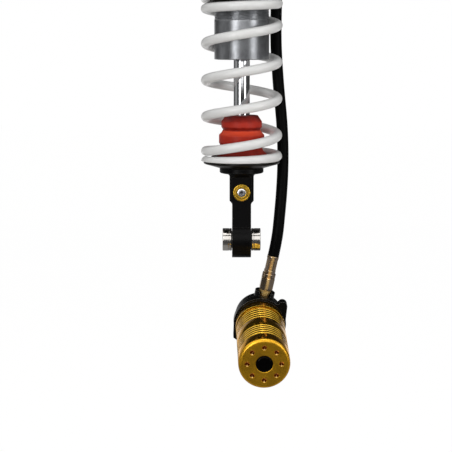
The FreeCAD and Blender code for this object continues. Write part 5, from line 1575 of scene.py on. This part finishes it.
@dataclass
class ReboundKnob:
    """Gold click knob in the mount's front face, with its screw."""

    height: float = -286.5
    face: float = -12.0
    counterbore: float = 1.0
    back_gap: float = 0.3
    radius: float = 8.4
    thickness: float = 5.0
    rounding: float = 0.9
    groove: float = 6.6
    groove_half: float = 0.45
    groove_depth: float = 0.5
    drive: float = 1.4
    drive_tip: float = -4.9
    spindle: float = 3.4
    spindle_tip: float = -8.3
    click_inner: float = 4.9
    click_outer: float = 7.5
    click_depth: float = 1.1
    screw_head: float = 4.15
    screw_head_height: float = 2.0
    screw_head_gap: float = 0.04
    screw_proud: float = 0.5
    screw_shank: float = 1.5
    screw_shank_gap: float = 0.03
    screw_length: float = 8.0
    screw_hole_end: float = -8.8
    socket: float = 1.75
    socket_depth: float = 1.6
    socket_point: float = 0.4
    notch: float = 0.7
    knob_steps: int = 128
    notch_steps: int = 24
    arc_steps: int = 5
    screw_sharp_deg: float = 25.0

    @property
    def back(self) -> float:
        """Where the knob's back lies, just clear of the counterbore's floor."""
        return self.face + self.counterbore - self.back_gap

    def knob_outline(self) -> Array:
        """Outline of the knob and its spindle, from the drive's tip round to the screw's hole.

        Returns:
            The (radius, height) rows.
        """
        front, back, r = self.back - self.thickness, self.back, self.radius
        low, high = self.groove - self.groove_half, self.groove + self.groove_half
        floor, click = front + self.groove_depth, back - self.click_depth
        seat = front - self.screw_proud + self.screw_head_height
        head, hole = self.screw_head + self.screw_head_gap, self.screw_shank + self.screw_shank_gap
        return soften([
            (0, self.drive_tip), (self.drive, self.drive_tip, 0.2), (self.drive, self.spindle_tip),
            (self.spindle, self.spindle_tip, 0.2), (self.spindle, back), (self.click_inner, back),
            (self.click_inner, click), (self.click_outer, click), (self.click_outer, back),
            (r, back, 0.4), (r, front, self.rounding), (high, front, 0.15), (high, floor, 0.1),
            (low, floor, 0.1), (low, front, 0.15), (head, front, 0.35), (head, seat), (hole, seat),
            (hole, self.screw_hole_end), (0, self.screw_hole_end)], False, self.arc_steps)

    def screw(self) -> Shell:
        """Cap screw with a hexagon socket: the socket's rows are flats, the others are round.

        Returns:
            The closed surface.
        """
        top = self.back - self.thickness - self.screw_proud
        head, floor, under = self.screw_head, top + self.socket_depth, top + self.screw_head_height
        rows = [(0.0, floor + self.socket_point), (self.socket - 0.05, floor),
                (self.socket, floor - 0.05), (self.socket, top + 0.12), (self.socket + 0.14, top),
                (head - 0.5, top), (head - 0.15, top + 0.13), (head, top + 0.45), (head, under),
                (self.screw_shank, under), (self.screw_shank, top + self.screw_length),
                (0.0, top + self.screw_length)]
        hexed = np.zeros(len(rows), bool)
        hexed[1:5] = True
        return lathe(np.array(rows), shape=flats(6, hexed))

    def build(self, shop: Workshop) -> list[Piece]:
        """Make the knob, cut its index mark, and make the screw.

        Args:
            shop: the frame and its materials.

        Returns:
            The pieces made, in order.
        """
        place = facing_y(self.height)
        knob = make_object("click_knob", [lathe(self.knob_outline(), self.knob_steps).moved(place)])
        front = self.back - self.thickness
        mark = lathe(soften([(0, front - 1), (self.notch, front - 1), (self.notch, front + 0.5, 0.3),
                             (0, front + 0.8)], False), self.notch_steps)
        mark.points[:, 1] -= self.groove
        cut_away(knob, [mark.moved(place)])
        shop.set_down(knob, Role(Body.KNOB, Slot.GOLD, GOLD_KNOB, "rebound_knob"))
        screw = shop.form("knob_cap_screw", [self.screw().moved(place)],
                          Role(Body.KNOB, Slot.STEEL, SCREW_STEEL, "knob_screw"), self.screw_sharp_deg)
        return [knob, screw]


@dataclass
class Reservoir:
    """Remote reservoir in its own axes: x to the right, s back along its length, z up."""

    hose_end: Corner = (32.47, 14.95, -353.38)
    tilt_deg: float = 7.8
    yaw_deg: float = 0.85
    twist_deg: float = 12.0
    radius: float = 24.5
    bore: float = 21.0
    cap: float = 17.6
    spigot: float = 14.0
    rim_round: float = 3.2
    valve_bore: float = 5.03
    fit: float = 0.03
    ridge_depth: float = 0.65
    ridge_shoulder: float = 0.22
    ridge_wear: float = 0.03
    groove_width: float = 1.9
    groove_edge: float = 0.12
    groove_points: int = 9
    front_ridges: int = 5
    front_pitch: float = 5.5
    band_gap: float = 19.0
    rear_ridges: int = 5
    rear_pitch: float = 6.0
    deep_width: float = 6.3
    deep_depth: float = 1.8
    ring_width: float = 4.0
    ring_proud: float = 0.3
    plain: float = 11.62
    port: float = 22.2
    hose_reach: float = 67.2
    dimples: int = 8
    dimple_circle: float = 16.1
    dimple: float = 2.4
    dimple_depth: float = 2.6
    dimple_point: float = 0.3
    plug: float = 8.0
    plug_length: float = 7.8
    plug_dome: float = 1.2
    plug_hollow: float = 4.0
    plug_crown: float = 2.2
    round_steps: int = 160
    dimple_steps: int = 32
    sharp_deg: float = 28.0

    @property
    def head_start(self) -> float:
        """Where the rear head begins along s."""
        ridges = self.front_ridges * self.front_pitch + self.band_gap + self.rear_ridges * self.rear_pitch
        return self.cap + ridges + self.deep_width + self.ring_width + self.plain

    @property
    def place(self) -> Place:
        """The reservoir's own axes in the frame, set back from where the hose ends.

        Returns:
            The place.
        """
        axes = turn_about(0, self.tilt_deg) @ turn_about(2, self.yaw_deg)
        twist = math.radians(self.twist_deg)
        local = np.array([math.sin(twist) * self.hose_reach, self.head_start + self.port,
                          math.cos(twist) * self.hose_reach])
        return Place(np.array(self.hose_end) - local @ axes, axes)

    @property
    def along(self) -> Place:
        """A place with its z back along the reservoir."""
        return facing_y().within(self.place)

    @property
    def port_place(self) -> Place:
        """A place with its z out along the hose port."""
        own = Place(np.array([0.0, self.head_start + self.port, 0.0]), turn_about(1, self.twist_deg))
        return own.within(self.place)

    def ridges(self, start: float, count: int, pitch: float) -> list[Corner]:
        """Corners of a band: a round groove, as an arc over its width, in the middle of each pitch.

        The arc through both edges and the floor has the radius (h * h + d * d) / 2d, with h the
        half width and d the depth.

        Args:
            start: where the band starts along s.
            count: number of grooves.
            pitch: distance between grooves.

        Returns:
            The corners in order.
        """
        rows: list[Corner] = []
        half, crown = self.groove_width / 2, self.radius - self.ridge_wear
        bend = (half ** 2 + self.ridge_depth ** 2) / (2 * self.ridge_depth)
        swing = math.asin(half / bend)
        for k in range(count):
            mid = start + pitch * (k + 0.5)
            rows.append((crown, mid - half - self.ridge_shoulder))
            for part in np.linspace(-swing, swing, self.groove_points):
                drop = bend * math.cos(part) - bend * math.cos(swing)
                rows.append((self.radius - max(drop, self.groove_edge), mid + bend * math.sin(part)))
            rows.append((crown, mid + half + self.ridge_shoulder))
        return rows

    def body_outline(self) -> Array:
        """Outline of the gold tube: two ridged bands, a deep groove, a proud ring and its bore.

        Returns:
            The (radius, height) rows.
        """
        r, start = self.radius, self.cap
        second = start + self.front_ridges * self.front_pitch + self.band_gap
        deep = second + self.rear_ridges * self.rear_pitch
        ring, floor, proud = deep + self.deep_width, r - self.deep_depth, r + self.ring_proud
        plain = ring + self.ring_width
        return soften([
            (self.bore, start, 0.2), (r - 0.02, start, 0.3),
            *self.ridges(start, self.front_ridges, self.front_pitch),
            *self.ridges(second, self.rear_ridges, self.rear_pitch),
            (r, deep, 0.3), (floor, deep + 0.6, 0.3), (floor, ring, 0.15), (proud, ring, 0.25),
            (proud, plain, 0.2), (r, plain + 0.3, 0.1), (r, self.head_start, 0.3),
            (self.bore, self.head_start, 0.2)])

    def cap_outline(self) -> Array:
        """Outline of the front cap: rounded rim, plug hole, valve hole and spigot.

        Returns:
            The (radius, height) rows.
        """
        hole, spigot, end = self.plug + self.fit, self.bore - self.fit, self.cap + self.spigot
        return soften([
            (hole, 0.0, 0.8), (self.radius, 0.0, self.rim_round), (self.radius, self.cap, 0.3),
            (spigot, self.cap), (spigot, end, 0.6), (self.valve_bore, end),
            (self.valve_bore, self.plug_length), (hole, self.plug_length)], steps=6)

    def plug_outline(self) -> Array:
        """Outline of the domed plug, with a chamfer ring outside its dome.

        Returns:
            The (radius, height) rows.
        """
        r, dome = self.plug, self.plug_dome
        across = np.sin(np.linspace(0, 0.42 * np.pi, 12))
        crown = [(float(0.9 * r * a), float(-dome * math.sqrt(1 - a * a))) for a in across]
        return soften([
            *crown, (0.9 * r, 0.05), (0.93 * r, -0.1, 0.1), (r, 0.45, 0.15), (r, self.plug_length),
            (self.plug_hollow, self.plug_length), (self.plug_hollow, self.plug_crown),
            (0.0, self.plug_crown)], False)

    def drills(self) -> list[Shell]:
        """The cones that cut the dimples: one cone, carried round the face's circle.

        Returns:
            The cones, in the frame.
        """
        cone = lathe(np.array([
            (0, -1.0), (self.dimple * 1.4, -1.0), (self.dimple, 0.0),
            (self.dimple_point, self.dimple_depth), (0, self.dimple_depth)]), self.dimple_steps)
        angles = 2 * np.pi * np.arange(self.dimples) / self.dimples
        spots = np.stack([np.cos(angles), np.sin(angles), 0 * angles], axis=-1) * self.dimple_circle
        return [Shell(cone.points + spot, cone.faces, cone.run).moved(self.along) for spot in spots]

    def build(self, shop: Workshop) -> list[Piece]:
        """Make the tube, the dimpled cap and the plug.

        Args:
            shop: the frame and its materials.

        Returns:
            The pieces made, in order.
        """
        place = self.along
        tube = shop.turned("reservoir_tube", self.body_outline(), place,
                           Role(Body.DAMPER, Slot.GOLD, GOLD_TURNED, "reservoir_body"),
                           self.round_steps, self.sharp_deg)
        cap = make_object("reservoir_front_cap",
                          [lathe(self.cap_outline(), self.round_steps).moved(place)], self.sharp_deg)
        cut_away(cap, self.drills(), self.sharp_deg)
        drilled = replace(GOLD_CAP, face_at=numbers(place.origin), inward=numbers(place.axes[2]))
        shop.set_down(cap, Role(Body.DAMPER, Slot.GOLD, drilled, "reservoir_end_cap"))
        plug = shop.turned("valve_cover_plug", self.plug_outline(), place,
                           Role(Body.DAMPER, Slot.PLASTIC, PLUG_BLACK, "gas_valve_plug"),
                           sharp_deg=self.sharp_deg)
        return [tube, cap, plug]


@dataclass
class HoseLine:
    """Hose from the head to the reservoir, with its ferrules and fittings."""

    reservoir: Reservoir
    diameter: float = 11.5
    length: float = 284.1
    start: Corner = (35.105, 32.736, -71.7)
    middle: tuple[Corner, ...] = (
        (35.1, 32.74, -98.0), (34.4, 33.4, -138.0), (37.4, 32.6, -183.0), (41.5, 29.6, -223.0),
        (42.3, 24.4, -258.0), (40.9, 18.4, -287.0), (38.6, 14.4, -312.0), (36.21, 12.64, -336.13))
    bevel_resolution: int = 10
    resolution: int = 16
    ferrule: float = 5.95
    ferrule_length: float = 18.7
    ferrule_end: float = 3.0
    ferrule_step: float = 0.1
    ferrule_slope: float = 0.4
    jaws: int = 8
    crimp_depth: float = 0.28
    crimp_power: float = 0.6
    crimp_rows: int = 8
    ferrule_steps: int = 128
    ferrule_sharp_deg: float = 30.0
    nut_start: float = 30.8
    nut_length: float = 13.3
    nut_flat: float = 6.6
    nut_steps: int = 144
    nut_sharp_deg: float = 25.0
    collar: float = 6.8
    collar_length: float = 4.4
    unlimited: float = 20.0

    def hose(self) -> Piece:
        """The hose as one smooth spline through the route's control points.

        Returns:
            The curve object.
        """
        curve = bpy.data.curves.new("pressure_hose", "CURVE")
        curve.dimensions = "3D"
        curve.bevel_depth = self.diameter / 2 * MM
        curve.bevel_resolution = self.bevel_resolution
        curve.resolution_u = self.resolution
        curve.use_fill_caps = True
        route = np.array([self.start, *self.middle, self.reservoir.hose_end]) * MM
        spline = curve.splines.new("NURBS")
        spline.points.add(len(route) - 1)
        spline.points.foreach_set("co", np.column_stack([route, np.ones(len(route))]).ravel())
        spline.order_u = 3
        spline.use_endpoint_u = True
        obj = bpy.data.objects.new("pressure_hose", curve)
        bpy.context.scene.collection.objects.link(obj)
        return obj

    def crimped(self, low: float) -> Shell:
        """Ferrule pressed on by eight jaws.

        Over its middle the radius is the ferrule's minus a small depth times a power of the
        size of cos(4a), so that each jaw leaves a shallow face with a ridge beside it.

        Args:
            low: height of its lower end in its own axes.

        Returns:
            The closed surface.
        """
        high, waist = low + self.ferrule_length, self.ferrule - self.ferrule_step
        inset = self.ferrule_end + self.ferrule_slope
        outline = soften([
            (0, low), (self.ferrule, low, 0.5), (self.ferrule, low + self.ferrule_end, 0.2),
            (waist, low + inset), (waist, high - inset), (self.ferrule, high - self.ferrule_end, 0.2),
            (self.ferrule, high, 0.7), (0, high)], False)
        split = int(np.argmin(np.abs(outline[:, 1] - (low + inset))))
        share = np.linspace(0, 1, self.crimp_rows)[:, None]
        between = outline[split] * (1 - share) + outline[split + 1] * share
        outline = np.concatenate([outline[:split], between, outline[split + 2:]])
        rows = np.arange(len(outline))
        pressed = (rows >= split) & (rows < split + self.crimp_rows)

        def shape(radius: Array, angle: Array) -> Array:
            """Radius under the jaws over the pressed rows, and the outline's own elsewhere."""
            face = np.abs(np.cos(self.jaws / 2 * angle)) ** self.crimp_power
            return np.where(pressed[:, None], radius - self.crimp_depth * face, radius)

        return lathe(outline, self.ferrule_steps, shape)

    def nut(self) -> Shell:
        """Hexagon nut with chamfered corners, and the round collar above it.

        Each row is the radius or the distance to the flats, the height, and the chamfer's
        radius where the row is a hexagon; a round row has no third number.

        Returns:
            The closed surface.
        """
        low, high = self.nut_start, self.nut_start + self.nut_length
        top, wide, collar, most = high + self.collar_length, self.nut_flat, self.collar, self.unlimited
        rows = [(0.0, low), (wide - 0.3, low, wide - 0.3), (wide, low + 0.15, wide + 0.1),
                (wide, low + 0.6, wide + 0.55), (wide, low + 1.2, most), (wide, high - 1.2, most),
                (wide, high - 0.6, wide + 0.55), (wide, high - 0.15, wide + 0.1),
                (wide - 0.25, high, wide - 0.25), (wide - 0.5, high + 0.1),
                (collar - 0.3, high + 0.25), (collar, high + 0.6), (collar, top - 0.6),
                (collar - 0.2, top - 0.2), (collar - 0.5, top), (0.0, top)]
        hexed = np.array([len(row) == 3 for row in rows])
        limit = np.array([row[2] if len(row) == 3 else most for row in rows])
        return lathe(np.array([row[:2] for row in rows]), self.nut_steps, flats(6, hexed, limit))

    def build(self, shop: Workshop) -> list[Piece]:
        """Make the hose, both ferrules and the nut.

        Args:
            shop: the frame and its materials.

        Returns:
            The pieces made, in order.
        """
        place = self.reservoir.port_place
        highlighted = replace(FITTING_HIGHLIGHTED, middle=numbers(place.origin), sideways=numbers(place.axes[0]))
        lowest = self.nut_start + self.nut_length + self.collar_length
        hose = shop.set_down(self.hose(), Role(Body.DAMPER, Slot.HOSE, HOSE_BLACK, "hose"))
        upper = shop.form("ferrule_at_head", [self.crimped(0.0).moved(upright(*self.start))],
                          Role(Body.DAMPER, Slot.PLATED, FITTING_STEEL, "hose_upper_ferrule"),
                          self.ferrule_sharp_deg)
        lower = shop.form("ferrule_at_reservoir", [self.crimped(lowest).moved(place)],
                          Role(Body.DAMPER, Slot.PLATED, highlighted, "hose_lower_ferrule"),
                          self.ferrule_sharp_deg)
        nut = shop.form("swivel_nut", [self.nut().moved(place)],
                        Role(Body.DAMPER, Slot.PLATED, highlighted, "hose_nut"), self.nut_sharp_deg)
        return [hose, upper, lower, nut]


@dataclass
class MountFittings:
    """Finishes of the machined CAD nodes whose own shape shows."""

    milled: tuple[str, ...] = ("lower_mount",)
    cast: tuple[str, ...] = ("upper_mount_head", "reservoir_clamp", "reservoir_rear_head")

    def build(self, shop: Workshop) -> list[Piece]:
        """Dress them."""
        looks = ((self.milled, BLACK_MILLED), (self.cast, BLACK_CAST))
        return [shop.dress_node(node, finish) for nodes, finish in looks for node in nodes]


# Camera, light and background


@dataclass(frozen=True)
class Card:
    """A curved card round the object: its spans in degrees as seen from the object."""

    name: str
    azimuth: tuple[float, float]
    elevation: tuple[float, float]
    glow: float
    radius: float = 2300.0


@dataclass(frozen=True)
class FloorCard:
    """A flat card just over the floor, between two depths."""

    name: str
    depth: tuple[float, float]
    glow: float


@dataclass(frozen=True)
class Lamp:
    """An oblong soft light: where it hangs as seen from the object, its size in metres, its watts."""

    name: str
    azimuth: float
    elevation: float
    distance: float
    size: tuple[float, float]
    power: float


LOW, BAND, HIGH, ABOVE = (-6.0, 7.0), (-6.0, 40.0), (25.0, 60.0), (40.0, 89.0)
CARDS: tuple[Card, ...] = (
    Card("front_card", (-66.0, 66.0), BAND, 0.03),
    Card("ceiling_card", (-180.0, 180.0), ABOVE, 0.06),
    Card("ceiling_light", (-110.0, 110.0), (54.0, 89.0), 1.65, 2250.0),
    Card("front_strip", (-24.0, 24.0), (5.0, 42.0), 1.4, 2200.0),
    Card("left_card", (-108.0, -66.0), BAND, 0.3),
    Card("left_back_card", (-142.0, -108.0), BAND, 0.06),
    Card("right_card", (66.0, 142.0), BAND, 0.06),
    Card("left_high_card", (-135.0, -48.0), HIGH, 0.9, 2250.0),
    Card("right_high_card", (52.0, 135.0), HIGH, 0.7, 2250.0),
    Card("back_card", (142.0, 218.0), (7.0, 40.0), 0.02),
    Card("back_low_left_card", (180.0, 218.0), LOW, 0.5),
    Card("back_low_right_card", (142.0, 180.0), LOW, 0.14),
)
FLOOR_CARDS: tuple[FloorCard, ...] = (
    FloorCard("floor_far_card", (-2300.0, -400.0), 0.08),
    FloorCard("floor_mid_card", (-400.0, -200.0), 0.12),
    FloorCard("floor_near_card", (-200.0, 900.0), 0.3),
)
LAMPS: tuple[Lamp, ...] = (
    Lamp("left_strip", -28.5, 11.5, 1.6, (0.53, 1.6), 9.5),
    Lamp("right_strip", 49.0, 11.5, 1.6, (0.62, 1.6), 8.5),
    Lamp("top_strip", -8.0, 84.0, 1.3, (0.10, 0.8), 1.0),
)


@dataclass
class Studio:
    """Camera at the photograph's angle, pale floor, strip lights and the cards that metal shows."""

    camera_at: Corner = (-15.5, -1487.84, -130.9)
    down_deg: float = 7.3
    lens: float = 119.469
    sensor: float = 36.0
    nearest: float = 0.05
    centre: Corner = (0.0, 0.0, -320.0)
    ambient: float = 0.42
    floor_z: float = -600.0
    floor_half: float = 6000.0
    floor_roughness: float = 0.9
    floor_glow: float = 1.06
    floor_white: float = 0.92
    floor_paint: Colour = (0.55, 0.54, 0.52)
    card_grid: tuple[int, int] = (40, 12)
    floor_card_half: float = 2200.0
    floor_card_lift: float = 3.0

    def camera(self) -> None:
        """Create the camera and make it the scene's."""
        data = bpy.data.cameras.new("photo_camera")
        data.lens = self.lens
        data.sensor_width = self.sensor
        data.clip_start = self.nearest
        obj = bpy.data.objects.new("photo_camera", data)
        obj.location = [c * MM for c in self.camera_at]
        obj.rotation_euler = (math.radians(90 - self.down_deg), 0.0, 0.0)
        bpy.context.scene.collection.objects.link(obj)
        bpy.context.scene.camera = obj

    def seen(self, bench: Bench) -> Signal:
        """1 for rays from the camera, from gloss and from glass, and 0 for the rest.

        Args:
            bench: the node tree that asks.

        Returns:
            The mask.
        """
        outs = [bench.add("ShaderNodeLightPath", out=name)
                for name in ("Is Camera Ray", "Is Glossy Ray", "Is Transmission Ray")]
        return outs[0].most(outs[1]).most(outs[2])

    def world(self) -> None:
        """White to the eye and in reflections, and a soft even light otherwise."""
        world = bpy.data.worlds.new("studio_world")
        bench = Bench(world)
        strength = self.ambient + self.seen(bench) * (1 - self.ambient)
        back = bench.add("ShaderNodeBackground", sockets={"Color": (1.0, 1.0, 1.0), "Strength": strength})
        bench.add("ShaderNodeOutputWorld", sockets={"Surface": back})
        bpy.context.scene.world = world

    def sheet(self, name: str, x: Sequence[float], y: Sequence[float], z: float) -> Piece:
        """A level oblong that faces up.

        Args:
            name: the sheet's name.
            x: its two sides.
            y: its two ends.
            z: its height.

        Returns:
            The mesh object.
        """
        across, deep = np.meshgrid(x, y, indexing="ij")
        points = np.stack([across, deep, np.full_like(across, z)], axis=-1).reshape(-1, 3)
        faces = grid_faces(2, 2, False, False)[:, ::-1]
        return make_object(name, [Shell(points, [faces], np.zeros(len(points)))])

    def floor(self) -> None:
        """A wide pale floor that reads white and keeps a soft shadow."""
        side = (-self.floor_half, self.floor_half)
        obj = self.sheet("studio_floor", side, side, self.floor_z)
        bench = Bench(bpy.data.materials.new("studio_floor"))
        paint = bench.add("ShaderNodeBsdfPrincipled",
                          sockets={"Base Color": self.floor_paint, "Roughness": self.floor_roughness})
        glow = bench.add("ShaderNodeEmission", sockets={"Strength": self.floor_glow})
        both = bench.add("ShaderNodeMixShader",
                         sockets={0: self.seen(bench) * self.floor_white, 1: paint, 2: glow})
        bench.add("ShaderNodeOutputMaterial", sockets={"Surface": both})
        obj.data.materials.append(bench.owner)

    def directions(self, azimuth: Array | float, elevation: Array | float) -> Array:
        """Unit vectors from the object to what is seen at two angles.

        At azimuth a and elevation e, with a = 0 towards the camera, the vector is
        (cos e sin a, -cos e cos a, sin e).

        Args:
            azimuth: degrees to the right of the camera.
            elevation: degrees above the object.

        Returns:
            The vectors.
        """
        a, e = np.radians(azimuth), np.radians(elevation)
        return np.stack([np.cos(e) * np.sin(a), -np.cos(e) * np.cos(a), np.sin(e) + 0 * a], axis=-1)

    def card(self, card: Card) -> Piece:
        """Make a curved card: its points lie at its radius from the object's middle.

        Args:
            card: where it stands.

        Returns:
            The mesh object.
        """
        columns, rows = self.card_grid
        spots = self.directions(np.linspace(*card.azimuth, columns)[:, None],
                                np.linspace(*card.elevation, rows)[None, :])
        points = (spots * card.radius + np.array(self.centre)).reshape(-1, 3)
        faces = grid_faces(columns, rows, False, False)
        return make_object(card.name, [Shell(points, [faces], np.zeros(len(points)))])

    def floor_card(self, card: FloorCard) -> Piece:
        """Make a flat card just over the floor."""
        side = (-self.floor_card_half, self.floor_card_half)
        return self.sheet(card.name, side, card.depth, self.floor_z + self.floor_card_lift)

    def light_up(self, obj: Piece, glow: float) -> None:
        """Make a card glow, and let only glossy rays meet it.

        Args:
            obj: the card.
            glow: its brightness.
        """
        bench = Bench(bpy.data.materials.new(obj.name))
        light = bench.add("ShaderNodeEmission", sockets={"Color": (glow, glow, glow)})
        bench.add("ShaderNodeOutputMaterial", sockets={"Surface": light})
        obj.data.materials.append(bench.owner)
        obj.visible_camera = False
        obj.visible_diffuse = False
        obj.visible_shadow = False
        obj.visible_transmission = False

    def lamp(self, lamp: Lamp) -> None:
        """Hang an oblong soft light, aimed at the object's middle.

        Args:
            lamp: where it hangs and how bright it is.
        """
        data = bpy.data.lights.new(lamp.name, "AREA")
        data.shape = "RECTANGLE"
        data.size, data.size_y = lamp.size
        data.energy = lamp.power
        obj = bpy.data.objects.new(lamp.name, data)
        away = self.directions(lamp.azimuth, lamp.elevation) * lamp.distance
        obj.location = numbers(np.array(self.centre) * MM + away)
        obj.rotation_euler = (math.radians(90 - lamp.elevation), 0.0, math.radians(lamp.azimuth))
        obj.visible_camera = False
        bpy.context.scene.collection.objects.link(obj)

    def build(self) -> None:
        """Set up the whole studio."""
        bpy.context.scene.view_settings.view_transform = "Standard"
        self.camera()
        self.world()
        self.floor()
        for card in CARDS:
            self.light_up(self.card(card), card.glow)
        for card in FLOOR_CARDS:
            self.light_up(self.floor_card(card), card.glow)
        for lamp in LAMPS:
            self.lamp(lamp)


def main(frame: dict) -> None:
    """Build the studio and every sub-assembly in order and report the pieces.
    """
    logging.basicConfig(level=logging.INFO, format="%(message)s")
    shop = Workshop(frame)
    Studio().build()
    reservoir = Reservoir()
    shop.dress_all_nodes()
    for assembly in (HoseLine(reservoir), reservoir, CoilSpring(), SpringCarriers(), DamperTube(),
                     RodAndBumpStop(), EyeSpacers(), ReboundKnob(), MountFittings()):
        pieces = assembly.build(shop)
        LOG.info("%s: %s", type(assembly).__name__, ", ".join(piece.name for piece in pieces))


if __name__ == "__main__":
    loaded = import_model()
    main(loaded)
